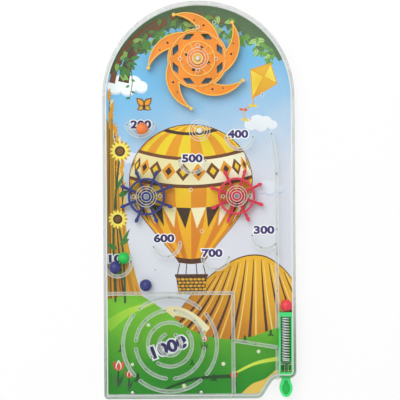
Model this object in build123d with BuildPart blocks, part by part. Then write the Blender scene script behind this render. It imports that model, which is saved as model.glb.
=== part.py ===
from build123d import *
from math import atan2, ceil, cos, degrees, dist, hypot, pi, radians, sin
import os

# Tabletop pinball game, in millimetres. It lies on its back plate: +X is to the right of the
# player, +Y runs to the dome, +Z is up through the clear cover. The origin is on the
# underside, at the middle of the case.

os.makedirs("parts", exist_ok=True)

# Case
case_width = 140.0
field_height = 142.3
maze_box_height = 74.1
maze_box_width = 91.5
cover_wall = 1.8
roof_thickness = 1.4
back_thickness = 1.6
card_thickness = 1.0
tongue_thickness = 0.9
fit_gap = 0.1
corner_radius = 3.0
exit_corner_radius = 5.0
notch_radius = 6.0
top_edge_chamfer = 0.7
back_edge_chamfer = 0.4
notch_height = 14.5
notch_outer_inset = 25.8
notch_inner_inset = 16.5

# Balls
ball_diameter = 9.0
ball_headroom = 0.8
steel_ball_diameter = 3.5
ball_lift = 0.05
ball_rest_gap = 0.3
ball_pair_gap = 0.4
orange_ball_angle = -74.0
blue_ball_angle = -123.7
green_ball_angle = 46.3
blue_ball_free_x = -39.5
steel_left_offset = 27.9
steel_right_offset = 22.5
ball_facets = 12
ball_half_bands = 4
ball_cap_angle = 80.0
steel_ball_facets = 10
steel_ball_half_bands = 3
steel_ball_cap_angle = 75.0

# Fences that hang from the cover
fence_thickness = 1.7
wall_fence_thickness = 1.8
fence_card_gap = 0.1
fence_facet_angle = 14.0
fence_tip_facet_angle = 60.0
post_facets = 16

# Cups: places from the centre line, the dome's centre, the maze box or a wall
cup_radius = 9.8
cup_100_inset = 8.5
cup_100_rise = 21.5
cup_200_x = -42.6
cup_200_drop = 18.8
cup_300_inset = 8.2
cup_300_rise = 41.2
cup_400_x = 29.7
cup_400_drop = 28.6
cup_500_x = -4.7
cup_500_drop = 45.5
cup_600_x = -23.9
cup_600_rise = 35.6
cup_700_x = 11.8
cup_700_rise = 26.2

# Maze rings, the inner three as shares of the outermost radius
maze_margin = 2.75
maze_shift_x = 0.55
maze_shift_y = 0.65
maze_second_share = 25.0 / 34.3
maze_third_share = 16.1 / 34.3
maze_inner_share = 8.0 / 34.3

# Spinners and their axles
axle_diameter = 3.0
socket_gap = 0.05
axle_end_gap = 0.1
socket_depth = 0.9
card_hole_gap = 0.2
collar_radius = 3.0
collar_thickness = 0.5
boss_radius = 3.0
boss_height = 1.0
boss_bore_extra = 0.2
bore_gap = 0.08
hub_end_gap = 0.2

pinwheel_x = -0.4
pinwheel_rise = 28.0
pinwheel_floor_gap = 2.4
pinwheel_roof_gap = 2.5
pinwheel_plate_thickness = 1.2
pinwheel_plate_drop = 0.7
pinwheel_hub_radius = 4.2
disc_radius = 22.1
disc_ridge_radius = 12.6
disc_facets = 32
raised_edge = 0.9
blade_count = 5
blade_tip_angle = 118.1
blade_reach = 36.7
blade_facets = 5
blade_tip_half_angle = 0.8
blade_back_root_angle = -77.0
blade_back_middle_angle = -35.6
blade_back_middle_inset = 5.8
blade_front_root_angle = -30.6
blade_front_middle_angle = -17.9
blade_front_middle_inset = 9.0
knob_facets = 8
knob_radius = 1.3
window_corners = ((2.2, 18.2), (7.8, 18.2), (11.0, 14.2), (5.8, 14.0))
spot_hole_radius = 1.2
spot_hole_circle = 8.5
spot_hole_angle = 69.0
blade_hole_radius = 0.8
blade_hole_circle = 24.8
blade_hole_lag = 38.5
tip_hole_radius = 0.55
tip_hole_circle = 28.4
tip_hole_lag = 23.5
spoke_ridge_angle = 24.0
spoke_ridge_width = 0.5

wheel_spoke_count = 8
wheel_row_rise = 69.7
blue_wheel_x = -38.5
red_wheel_x = 27.5
blue_wheel_turn = 22.0
red_wheel_turn = 26.0
wheel_hub_radius = 3.9
wheel_rim_radius = 13.7
wheel_rim_width = 1.6
wheel_rim_facets = 24
wheel_spoke_width = 1.7
wheel_handle_end = 20.8
wheel_handle_length = 3.6
wheel_handle_width = 2.9
wheel_handle_swell = 1.45
wheel_floor_gap = 2.8
wheel_roof_gap = 3.6
wheel_spoke_inset = 0.4

bumper_drop = 24.6
bumper_x = 0.6
bumper_radius = 2.0

# Lane, gate and return ramp
lane_clearance = 1.9
gate_rise = 22.3
gate_height = 13.6
lane_wall_top_drop = 56.3
guide_radius = 122.7
guide_angle = 14.1
ramp_rise = 5.5

# Plunger unit
slide_gap = 0.2
plunger_card_gap = 0.4
plunger_height = 6.4
head_rise = 47.6
head_depth = 3.2
side_bar_width = 1.5
plunger_travel = 24.0
spring_pressed_length = 8.9
foot_depth = 2.6
neck_width = 6.2
neck_drop = 1.8
handle_width = 9.4
handle_drop = 9.1
handle_end_gap = 0.1
handle_cap_radius = 3.5
handle_rim = 1.8
handle_recess = 1.2
handle_inset = 0.6
exit_roof_gap = 0.3
stop_gap = 0.2
stop_bar_gap = 0.4
stop_depth = 1.4
stop_tab_width = 6.4
stop_stem_width = 2.4
stop_stem_length = 6.0
window_length = plunger_travel + spring_pressed_length + stop_stem_length + stop_depth + stop_gap

# Plunger spring
spring_diameter = 6.8
spring_wire = 0.5
spring_wire_sides = 3
spring_turns = 17
spring_end_gap = 0.1
spring_turn_points = 24

# Levels
card_top = back_thickness + card_thickness
roof_under = card_top + ball_diameter + ball_headroom
roof_top = roof_under + roof_thickness
fence_base = card_top + fence_card_gap

# Plan positions
case_length = cover_wall + maze_box_height + wall_fence_thickness + field_height + case_width / 2
right_side = case_width / 2
left_side = -case_width / 2
bottom_end = -case_length / 2
top_end = case_length / 2
dome_y = top_end - case_width / 2
inner_left = left_side + cover_wall
inner_right = right_side - cover_wall
inner_bottom = bottom_end + cover_wall
exit_y = bottom_end + notch_height
box_ceiling = inner_bottom + maze_box_height
box_top = box_ceiling + wall_fence_thickness
box_side = inner_left + maze_box_width
box_side_outer = box_side + wall_fence_thickness

lane_width = ball_diameter + lane_clearance
lane_left = inner_right - lane_width
lane_x = inner_right - lane_width / 2
lane_wall_x = lane_left - wall_fence_thickness / 2
lane_wall_face = lane_left - wall_fence_thickness
gate_bottom = exit_y + gate_rise
gate_top = gate_bottom + gate_height
lane_wall_top = dome_y - lane_wall_top_drop

pinwheel_centre = (pinwheel_x, dome_y + pinwheel_rise)
blue_wheel_centre = (blue_wheel_x, box_top + wheel_row_rise)
red_wheel_centre = (red_wheel_x, box_top + wheel_row_rise)
hub_centres = (pinwheel_centre, blue_wheel_centre, red_wheel_centre)

# Name, centre and the angles between which each cup's fence runs
cups = {
    "cup_100": (inner_left + cup_100_inset, box_top + cup_100_rise, -150.0, 7.0),
    "cup_200": (cup_200_x, dome_y - cup_200_drop, -174.0, -4.0),
    "cup_300": (lane_wall_x - cup_300_inset, box_top + cup_300_rise, -178.0, -43.0),
    "cup_400": (cup_400_x, dome_y - cup_400_drop, -172.0, -6.0),
    "cup_500": (cup_500_x, dome_y - cup_500_drop, -172.0, -8.0),
    "cup_600": (cup_600_x, box_top + cup_600_rise, -165.0, 2.0),
    "cup_700": (cup_700_x, box_top + cup_700_rise, -170.0, -7.0),
}

# Rings of the maze: name, its radius and its arcs
maze_radius = maze_box_height / 2 - maze_margin
maze_centre = (
    (inner_left + box_side) / 2 + maze_shift_x,
    (inner_bottom + box_ceiling) / 2 + maze_shift_y,
)
maze_rings = {
    "outer": (maze_radius, ((50.6, 130.3), (140.7, 220.2), (230.3, 310.0), (321.0, 399.8))),
    "second": (
        maze_radius * maze_second_share,
        ((98.0, 172.8), (187.4, 262.6), (278.0, 352.6), (7.0, 82.0)),
    ),
    "third": (maze_radius * maze_third_share, ((58.0, 213.0), (237.0, 393.0))),
    "inner": (maze_radius * maze_inner_share, ((117.6, 420.5),)),
}


# Outline of the case, a given distance inside its outer face
def outline_at(inset):
    low_left = (left_side, bottom_end)
    notch_low = (right_side - notch_outer_inset, bottom_end)
    notch_high = (right_side - notch_inner_inset, exit_y)
    low_right = (right_side, exit_y)
    with BuildSketch(mode=Mode.PRIVATE) as outline:
        with BuildLine():
            Polyline((left_side, dome_y), low_left, notch_low, notch_high, low_right, (right_side, dome_y))
            CenterArc((0, dome_y), case_width / 2, 0, 90)
            CenterArc((0, dome_y), case_width / 2, 90, 90)
        make_face()
        if inset:
            offset(amount=-inset, kind=Kind.INTERSECTION, mode=Mode.REPLACE)
        for corner, radius in (
            (low_left, max(corner_radius - inset, fit_gap)),
            (notch_low, max(notch_radius - inset, fit_gap)),
            (notch_high, notch_radius + inset),
            (low_right, max(exit_corner_radius - inset, fit_gap)),
        ):
            fillet(outline.vertices().sort_by_distance(corner)[0], radius)
    return outline.sketch


# Labels a finished piece and writes it under its node's name
def write_piece(piece, name):
    piece.part.label = name
    export_step(piece.part, f"parts/{name}.step")


outer_area = outline_at(0)
inner_area = outline_at(cover_wall)
tongue_area = outline_at(cover_wall + fit_gap)
card_gap_area = outline_at(cover_wall + fit_gap + tongue_thickness)
card_area = outline_at(cover_wall + tongue_thickness + 2 * fit_gap)

# Back plate with its locating tongue and three axle sockets
with BuildPart() as back_plate:
    with BuildSketch():
        add(outer_area)
    extrude(amount=back_thickness)
    chamfer(back_plate.faces().sort_by(Axis.Z)[0].edges(), back_edge_chamfer)
    with BuildSketch(Plane.XY.offset(back_thickness)):
        add(tongue_area)
        add(card_gap_area, mode=Mode.SUBTRACT)
    extrude(amount=card_thickness)
    with BuildSketch(Plane.XY.offset(back_thickness)):
        with Locations(*hub_centres):
            Circle(axle_diameter / 2 + socket_gap)
    extrude(amount=-socket_depth, mode=Mode.SUBTRACT)
write_piece(back_plate, "back_plate")

# Printed card that the balls roll on
with BuildPart() as playfield_card:
    with BuildSketch(Plane.XY.offset(back_thickness)):
        add(card_area)
        with Locations(*hub_centres):
            RegularPolygon(
                axle_diameter / 2 + card_hole_gap, post_facets, major_radius=False, mode=Mode.SUBTRACT
            )
    extrude(amount=card_thickness)
write_piece(playfield_card, "playfield_card")

# Clear cover: wall, roof, bevelled top edge, axle bosses and the plunger's way out
plunger_base = card_top + plunger_card_gap
plunger_top = plunger_base + plunger_height
boss_face = roof_under - boss_height
with BuildPart() as front_cover:
    with BuildSketch(Plane.XY.offset(back_thickness)):
        add(outer_area)
        add(inner_area, mode=Mode.SUBTRACT)
    extrude(amount=roof_under - back_thickness)
    with BuildSketch(Plane.XY.offset(roof_under)):
        add(outer_area)
    extrude(amount=roof_thickness)
    chamfer(front_cover.faces().sort_by(Axis.Z)[-1].edges(), top_edge_chamfer)
    with BuildSketch(Plane.XY.offset(boss_face)):
        with Locations(*hub_centres):
            RegularPolygon(boss_radius, post_facets)
    extrude(amount=boss_height)
    with BuildSketch(Plane.XY.offset(boss_face)):
        with Locations(*hub_centres):
            Circle(axle_diameter / 2 + socket_gap)
    extrude(amount=boss_height + boss_bore_extra, mode=Mode.SUBTRACT)
    exit_depth = exit_corner_radius + cover_wall
    with BuildSketch(Plane.XY.offset(back_thickness)):
        with Locations((lane_x, exit_y)):
            Rectangle(lane_width, 2 * exit_depth)
    extrude(amount=plunger_top + exit_roof_gap - back_thickness, mode=Mode.SUBTRACT)
write_piece(front_cover, "front_cover")


def polar(radius, angle):
    return (radius * cos(radians(angle)), radius * sin(radians(angle)))


def beside(centre, distance, angle):
    step_x, step_y = polar(distance, angle)
    return (centre[0] + step_x, centre[1] + step_y)


# Corners along part of a circle, at most a given angle apart
def arc_corners(centre, radius, start, end, facet_angle):
    steps = ceil(abs(end - start) / facet_angle)
    return [beside(centre, radius, start + (end - start) * step / steps) for step in range(steps + 1)]


# Fence that follows part of a circle in short straight runs, with rounded ends, cut off where
# it meets the case or the lane wall
def arc_fence(name, centre, radius, start, end, area):
    half = fence_thickness / 2
    tip = beside(centre, radius, end)
    tail = beside(centre, radius, start)
    corners = arc_corners(centre, radius + half, start, end, fence_facet_angle)
    corners += arc_corners(tip, half, end, end + 180, fence_tip_facet_angle)[1:-1]
    corners += arc_corners(centre, radius - half, end, start, fence_facet_angle)
    corners += arc_corners(tail, half, start + 180, start + 360, fence_tip_facet_angle)[1:-1]
    wall_fence(name, corners, area)


# Fence given by the corners of its outline
def wall_fence(name, corners, area):
    with BuildPart() as fence:
        with BuildSketch(Plane.XY.offset(fence_base)):
            with BuildLine():
                Polyline(*corners, close=True)
            make_face()
            add(area, mode=Mode.INTERSECT)
        extrude(amount=roof_under - fence_base)
    write_piece(fence, name)


with BuildSketch() as field_area:
    add(inner_area)
    with Locations((lane_wall_face, inner_bottom)):
        Rectangle(case_width, case_length, align=(Align.MIN, Align.MIN), mode=Mode.SUBTRACT)

for cup_name, (cup_x, cup_y, cup_start, cup_end) in cups.items():
    arc_fence(cup_name, (cup_x, cup_y), cup_radius, cup_start, cup_end, field_area.sketch)

for ring_name, (ring_radius, ring_arcs) in maze_rings.items():
    for arc_number, (arc_start, arc_end) in enumerate(ring_arcs, start=1):
        arc_name = f"maze_{ring_name}_arc_{arc_number}"
        arc_fence(arc_name, maze_centre, ring_radius, arc_start, arc_end, inner_area)

# Maze box walls
wall_fence(
    "maze_top_wall",
    (
        (inner_left, box_ceiling),
        (box_side_outer, box_ceiling),
        (box_side_outer, box_top),
        (inner_left, box_top),
    ),
    inner_area,
)
wall_fence(
    "maze_side_wall",
    (
        (box_side, inner_bottom),
        (box_side_outer, inner_bottom),
        (box_side_outer, box_ceiling),
        (box_side, box_ceiling),
    ),
    inner_area,
)

# Return ramp from the maze box down to the lane, and the lane wall that ends under it
ramp_slope = -ramp_rise / (lane_left - box_side_outer)
ramp_half = wall_fence_thickness / 2 * hypot(1, ramp_slope)


def ramp_y(x):
    return gate_bottom + ramp_slope * (x - lane_left)


wall_fence(
    "return_ramp",
    (
        (box_side_outer, ramp_y(box_side_outer) - ramp_half),
        (lane_left, ramp_y(lane_left) - ramp_half),
        (lane_left, ramp_y(lane_left) + ramp_half),
        (box_side_outer, ramp_y(box_side_outer) + ramp_half),
    ),
    inner_area,
)
wall_fence(
    "lane_wall_lower",
    (
        (lane_wall_face, bottom_end),
        (lane_left, bottom_end),
        (lane_left, ramp_y(lane_left) - ramp_half),
        (lane_wall_face, ramp_y(lane_wall_face) - ramp_half),
    ),
    inner_area,
)

# Upper lane wall, rounded at the gate, and the curved guide that carries on from it
with BuildPart() as lane_wall_upper:
    with BuildSketch(Plane.XY.offset(fence_base)):
        with Locations((lane_wall_x, gate_top)):
            Circle(wall_fence_thickness / 2)
            Rectangle(wall_fence_thickness, lane_wall_top - gate_top, align=(Align.CENTER, Align.MIN))
    extrude(amount=roof_under - fence_base)
write_piece(lane_wall_upper, "lane_wall_upper")

guide_inner = guide_radius - wall_fence_thickness / 2
guide_outer = guide_radius + wall_fence_thickness / 2
guide_centre = (lane_wall_x - guide_radius, lane_wall_top)
guide_tip_radius = hypot(guide_radius, wall_fence_thickness / 2)
guide_tip_angle = guide_angle + degrees(atan2(wall_fence_thickness / 2, guide_radius))
with BuildPart() as lane_guide:
    with BuildSketch(Plane.XY.offset(fence_base)):
        with BuildLine():
            inner_side = CenterArc(guide_centre, guide_inner, 0, guide_angle)
            outer_side = CenterArc(guide_centre, guide_outer, 0, guide_angle)
            Line(inner_side @ 0, outer_side @ 0)
            guide_tip = PolarLine(guide_centre, guide_tip_radius, guide_tip_angle, mode=Mode.PRIVATE)
            ThreePointArc(outer_side @ 1, guide_tip @ 1, inner_side @ 1)
        make_face()
    extrude(amount=roof_under - fence_base)
write_piece(lane_guide, "lane_guide")

# Bumper post under the pinwheel
with BuildPart() as bumper_post:
    with BuildSketch(Plane.XY.offset(fence_base)):
        with Locations((bumper_x, dome_y - bumper_drop)):
            RegularPolygon(bumper_radius, post_facets)
    extrude(amount=roof_under - fence_base)
write_piece(bumper_post, "bumper_post")


# Axle pin: its ends sit in the back plate and in the cover's boss, its collar lies on the card
def make_axle(name, centre):
    pin_base = back_thickness - socket_depth + axle_end_gap
    pin_top = roof_under + boss_bore_extra - axle_end_gap
    with BuildPart() as axle:
        with BuildSketch(Plane((centre[0], centre[1], pin_base))):
            Circle(axle_diameter / 2)
        extrude(amount=pin_top - pin_base)
        with BuildSketch(Plane((centre[0], centre[1], card_top))):
            RegularPolygon(collar_radius, post_facets)
        extrude(amount=collar_thickness)
    write_piece(axle, name)


make_axle("pinwheel_axle", pinwheel_centre)
make_axle("blue_wheel_axle", blue_wheel_centre)
make_axle("red_wheel_axle", red_wheel_centre)

hub_base = card_top + collar_thickness + hub_end_gap
hub_top = boss_face - hub_end_gap
hub_bore_radius = axle_diameter / 2 + bore_gap

# One crescent blade with its tip on the local X axis, rooted inside the disc's raised edge
blade_root = disc_radius - raised_edge
with BuildSketch() as blade:
    with BuildLine():
        back_side = ThreePointArc(
            polar(blade_root, blade_back_root_angle),
            polar(blade_reach - blade_back_middle_inset, blade_back_middle_angle),
            polar(blade_reach, -blade_tip_half_angle),
            mode=Mode.PRIVATE,
        )
        front_side = ThreePointArc(
            polar(blade_reach, blade_tip_half_angle),
            polar(blade_reach - blade_front_middle_inset, blade_front_middle_angle),
            polar(blade_root, blade_front_root_angle),
            mode=Mode.PRIVATE,
        )
        shares = [corner / blade_facets for corner in range(blade_facets + 1)]
        blade_corners = [side @ share for side in (back_side, front_side) for share in shares]
        Polyline(*blade_corners, close=True)
    make_face()
with BuildSketch() as blade_floor:
    add(blade.sketch)
    offset(amount=-raised_edge, kind=Kind.INTERSECTION, mode=Mode.REPLACE)
with BuildSketch() as window_pair:
    with BuildLine():
        Polyline(*window_corners, close=True)
    make_face()
    mirror(about=Plane.YZ)

# Pinwheel: a ring and five crescents with raised edges on a thin plate, and a long hub
pinwheel_base = card_top + pinwheel_floor_gap
pinwheel_top = roof_under - pinwheel_roof_gap
plate_top = pinwheel_top - pinwheel_plate_drop
plate_base = plate_top - pinwheel_plate_thickness


def pinwheel_plane(z):
    return Plane((pinwheel_centre[0], pinwheel_centre[1], z))


with BuildSketch() as pinwheel_floor:
    RegularPolygon(disc_radius - raised_edge, disc_facets)
    with PolarLocations(0, blade_count, start_angle=blade_tip_angle):
        add(blade_floor.sketch)

with BuildPart() as pinwheel:
    with BuildSketch(pinwheel_plane(pinwheel_base)):
        RegularPolygon(disc_radius, disc_facets)
        with PolarLocations(0, blade_count, start_angle=blade_tip_angle):
            add(blade.sketch)
        with PolarLocations(blade_reach, blade_count, start_angle=blade_tip_angle):
            RegularPolygon(knob_radius, knob_facets)
    extrude(amount=pinwheel_top - pinwheel_base)
    with BuildSketch(pinwheel_plane(pinwheel_base)):
        add(pinwheel_floor.sketch)
    extrude(amount=plate_base - pinwheel_base, mode=Mode.SUBTRACT)
    with BuildSketch(pinwheel_plane(plate_top)):
        add(pinwheel_floor.sketch)
    extrude(amount=pinwheel_plate_drop, mode=Mode.SUBTRACT)
    with BuildSketch(pinwheel_plane(plate_base)):
        RegularPolygon(disc_ridge_radius + raised_edge / 2, disc_facets)
        RegularPolygon(disc_ridge_radius - raised_edge / 2, disc_facets, mode=Mode.SUBTRACT)
        with PolarLocations((disc_ridge_radius + pinwheel_hub_radius) / 2, 4, start_angle=spoke_ridge_angle):
            Rectangle(disc_ridge_radius - pinwheel_hub_radius, spoke_ridge_width)
    extrude(amount=pinwheel_top - plate_base)
    with BuildSketch(pinwheel_plane(hub_base)):
        RegularPolygon(pinwheel_hub_radius, post_facets)
    extrude(amount=hub_top - hub_base)
    with BuildSketch(pinwheel_plane(plate_base)):
        with PolarLocations(0, 4):
            add(window_pair.sketch)
        with PolarLocations(spot_hole_circle, 4, start_angle=spot_hole_angle):
            RegularPolygon(spot_hole_radius, knob_facets)
        with PolarLocations(blade_hole_circle, blade_count, start_angle=blade_tip_angle - blade_hole_lag):
            RegularPolygon(blade_hole_radius, knob_facets)
        with PolarLocations(tip_hole_circle, blade_count, start_angle=blade_tip_angle - tip_hole_lag):
            RegularPolygon(tip_hole_radius, knob_facets)
    extrude(amount=pinwheel_plate_thickness, mode=Mode.SUBTRACT)
    with BuildSketch(pinwheel_plane(hub_base)):
        Circle(hub_bore_radius)
    extrude(amount=hub_top - hub_base, mode=Mode.SUBTRACT)
write_piece(pinwheel, "pinwheel")


# Ship's wheel spinner: hub, rim, spokes that run past the rim and a pointed handle on each
def make_wheel(name, centre, turn):
    wheel_base = card_top + wheel_floor_gap
    wheel_top = roof_under - wheel_roof_gap
    spoke_base = wheel_base + wheel_spoke_inset
    handle_start = wheel_handle_end - wheel_handle_length
    half_width = wheel_handle_width / 2
    handle_corners = (
        (handle_start, -wheel_spoke_width / 2),
        (handle_start + wheel_handle_swell, -half_width),
        (wheel_handle_end, -wheel_spoke_width / 4),
        (wheel_handle_end, wheel_spoke_width / 4),
        (handle_start + wheel_handle_swell, half_width),
        (handle_start, wheel_spoke_width / 2),
    )
    with BuildSketch() as handle:
        with BuildLine():
            Polyline(*handle_corners, close=True)
        make_face()
    with BuildPart() as wheel:
        with BuildSketch(Plane((centre[0], centre[1], wheel_base))):
            RegularPolygon(wheel_rim_radius, wheel_rim_facets)
            RegularPolygon(wheel_rim_radius - wheel_rim_width, wheel_rim_facets, mode=Mode.SUBTRACT)
            with PolarLocations(0, wheel_spoke_count, start_angle=turn):
                add(handle.sketch)
        extrude(amount=wheel_top - wheel_base)
        with BuildSketch(Plane((centre[0], centre[1], spoke_base))):
            with PolarLocations(0, wheel_spoke_count, start_angle=turn):
                with Locations((wheel_hub_radius / 2, 0)):
                    Rectangle(
                        handle_start - wheel_hub_radius / 2 + wheel_spoke_inset,
                        wheel_spoke_width,
                        align=(Align.MIN, Align.CENTER),
                    )
        extrude(amount=wheel_top - wheel_spoke_inset - spoke_base)
        with BuildSketch(Plane((centre[0], centre[1], hub_base))):
            RegularPolygon(wheel_hub_radius, post_facets)
        extrude(amount=hub_top - hub_base)
        with BuildSketch(Plane((centre[0], centre[1], hub_base))):
            Circle(hub_bore_radius)
        extrude(amount=hub_top - hub_base, mode=Mode.SUBTRACT)
    write_piece(wheel, name)


make_wheel("blue_wheel", blue_wheel_centre, blue_wheel_turn)
make_wheel("red_wheel", red_wheel_centre, red_wheel_turn)

# Plunger: head, two side bars and foot round a window, then a neck and a drop-shaped handle
plunger_width = lane_width - 2 * slide_gap
head_top = exit_y + head_rise
window_top = head_top - head_depth
foot_top = window_top - window_length
foot_bottom = foot_top - foot_depth
neck_y = foot_bottom - neck_drop
handle_centre = foot_bottom - handle_drop
handle_end = bottom_end + handle_end_gap
half_plunger = plunger_width / 2
half_neck = neck_width / 2
half_handle = handle_width / 2


# Drop-shaped handle, a given distance inside its edge: it leaves the neck straight, swells on
# two arcs, and closes on a side arc and a round cap
def handle_at(inset):
    start_y = neck_y - inset
    end_y = handle_end + inset
    neck_half = half_neck - inset
    swell_half = half_handle - inset
    cap_radius = handle_cap_radius - inset
    cap_to_side = handle_centre - end_y - cap_radius
    side_radius = (swell_half**2 + cap_to_side**2 - cap_radius**2) / (2 * (swell_half - cap_radius))
    cap_share = cap_radius / (side_radius - cap_radius)
    cap_start = (
        lane_x + cap_share * (side_radius - swell_half),
        end_y + cap_radius - cap_share * cap_to_side,
    )
    swell_middle = (lane_x + (neck_half + swell_half) / 2, (start_y + handle_centre) / 2)
    with BuildSketch(mode=Mode.PRIVATE) as handle:
        with BuildLine():
            Line((lane_x, start_y), (lane_x + neck_half, start_y))
            swell = TangentArc((lane_x + neck_half, start_y), swell_middle, tangent=(0, -1))
            TangentArc(swell_middle, (lane_x + swell_half, handle_centre), tangent=swell % 1)
            side = TangentArc((lane_x + swell_half, handle_centre), cap_start, tangent=(0, -1))
            TangentArc(cap_start, (lane_x, end_y), tangent=side % 1)
            mirror(about=Plane.YZ.offset(lane_x))
        make_face()
    return handle.sketch


with BuildPart() as plunger:
    with BuildSketch(Plane.XY.offset(plunger_base)):
        with BuildLine():
            Polyline(
                (lane_x - half_plunger, head_top),
                (lane_x - half_plunger, foot_bottom),
                (lane_x - half_neck, neck_y),
                (lane_x + half_neck, neck_y),
                (lane_x + half_plunger, foot_bottom),
                (lane_x + half_plunger, head_top),
                close=True,
            )
        make_face()
        with Locations((lane_x, (window_top + foot_top) / 2)):
            Rectangle(plunger_width - 2 * side_bar_width, window_length, mode=Mode.SUBTRACT)
    extrude(amount=plunger_height)
    with BuildSketch(Plane.XY.offset(plunger_base + handle_inset)):
        add(handle_at(0))
    extrude(amount=plunger_height - 2 * handle_inset)
    with BuildSketch(Plane.XY.offset(plunger_top - handle_inset - handle_recess)):
        add(handle_at(handle_rim))
    extrude(amount=handle_recess, mode=Mode.SUBTRACT)
write_piece(plunger, "plunger")

# T-shaped stop of the cover: a bar over the lane, a tab that holds the spring, and a stem
# whose end the foot of the plunger rests on
stem_end = foot_top + stop_gap
tab_bottom = stem_end + stop_stem_length
tab_top = tab_bottom + stop_depth
stop_bar_base = plunger_top + stop_bar_gap
with BuildPart() as plunger_stop:
    with BuildSketch(Plane.XY.offset(stop_bar_base)):
        with Locations((lane_x, tab_bottom)):
            Rectangle(lane_width, stop_depth, align=(Align.CENTER, Align.MIN))
    extrude(amount=roof_under - stop_bar_base)
    with BuildSketch(Plane.XY.offset(plunger_base + slide_gap)):
        with Locations((lane_x, tab_bottom)):
            Rectangle(stop_tab_width, stop_depth, align=(Align.CENTER, Align.MIN))
        with Locations((lane_x, stem_end)):
            Rectangle(stop_stem_width, tab_top - stem_end, align=(Align.CENTER, Align.MIN))
    extrude(amount=roof_under - plunger_base - slide_gap)
write_piece(plunger_stop, "plunger_stop")

# Compression spring between the tab and the head: every half turn is an arc tilted by half a
# pitch, and the wire runs straight for its own thickness at both ends
coil_radius = (spring_diameter - spring_wire) / 2
spring_z = (plunger_base + plunger_top) / 2
spring_start = tab_top + spring_end_gap + spring_wire / 2
spring_end = window_top - spring_end_gap - spring_wire / 2
spring_pitch = (spring_end - spring_start) / spring_turns
half_turns = 2 * spring_turns


def spring_point(turns):
    angle = 2 * pi * turns
    return (
        lane_x + coil_radius * cos(angle),
        spring_start + spring_pitch * turns,
        spring_z + coil_radius * sin(angle),
    )


with BuildPart() as plunger_spring:
    with BuildLine() as spring_path:
        first_point = Vector(*spring_point(0))
        last_point = Vector(*spring_point(spring_turns))
        Line(first_point - (0, 0, spring_wire), first_point)
        for half_turn in range(half_turns):
            turns = half_turn / 2
            ThreePointArc(spring_point(turns), spring_point(turns + 0.25), spring_point(turns + 0.5))
        Line(last_point, last_point + (0, 0, spring_wire))
    with BuildSketch(Plane(origin=spring_path.line @ 0, z_dir=spring_path.line % 0)):
        RegularPolygon(spring_wire / 2, spring_wire_sides)
    sweep()
write_piece(plunger_spring, "plunger_spring")
spring_steps = range(spring_turns * spring_turn_points + 1)
spring_points = [spring_point(step / spring_turn_points) for step in spring_steps]
spring_gap = min(
    dist(point, other)
    for place, point in enumerate(spring_points)
    for other in spring_points[place + spring_turn_points // 2 :]
) - spring_wire
print(f"plunger_spring: {spring_turns} turns, least gap to itself {spring_gap:.2f} mm")


# Balls in flat bands between polygons whose corners lie on the ball's surface, each band an
# extrusion that narrows away from the middle
def make_ball(name, centre, diameter, facets, half_bands, cap_angle):
    radius = diameter / 2
    centre_z = card_top + ball_lift + radius * sin(radians(cap_angle))
    with BuildPart() as ball:
        for band in range(half_bands):
            ring_radius, ring_z = polar(radius, cap_angle * band / half_bands)
            next_radius, next_z = polar(radius, cap_angle * (band + 1) / half_bands)
            band_height = next_z - ring_z
            side_step = (ring_radius - next_radius) * cos(pi / facets)
            with BuildSketch(Plane((centre[0], centre[1], centre_z + ring_z))):
                RegularPolygon(ring_radius, facets)
            extrude(amount=band_height, taper=degrees(atan2(side_step, band_height)))
        mirror(about=Plane((centre[0], centre[1], centre_z)))
    write_piece(ball, name)


ball_radius = ball_diameter / 2
steel_radius = steel_ball_diameter / 2
cup_rest_radius = cup_radius - fence_thickness / 2 - ball_radius - ball_rest_gap
orange_centre = beside(cups["cup_200"][:2], cup_rest_radius, orange_ball_angle)
blue_lower_centre = beside(cups["cup_100"][:2], cup_rest_radius, blue_ball_angle)
green_centre = beside(blue_lower_centre, ball_diameter + ball_pair_gap, green_ball_angle)
blue_free_centre = (blue_ball_free_x, box_top + ball_radius + ball_rest_gap)
red_centre = (inner_right - ball_radius - ball_rest_gap, head_top + ball_radius + ball_rest_gap)
steel_y = inner_bottom + steel_radius + fit_gap

coloured_form = (ball_diameter, ball_facets, ball_half_bands, ball_cap_angle)
steel_form = (steel_ball_diameter, steel_ball_facets, steel_ball_half_bands, steel_ball_cap_angle)
make_ball("orange_ball", orange_centre, *coloured_form)
make_ball("blue_ball_lower", blue_lower_centre, *coloured_form)
make_ball("green_ball", green_centre, *coloured_form)
make_ball("blue_ball_free", blue_free_centre, *coloured_form)
make_ball("red_ball", red_centre, *coloured_form)
steel_left = (maze_centre[0] - steel_left_offset, steel_y)
steel_right = (maze_centre[0] + steel_right_offset, steel_y)
make_ball("steel_ball_left", steel_left, *steel_form)
make_ball("steel_ball_right", steel_right, *steel_form)
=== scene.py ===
import random
from math import atan, cos, hypot, pi, radians, sin, sqrt

import bpy
from mathutils import Matrix, Vector
from mathutils.geometry import delaunay_2d_cdt


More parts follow.
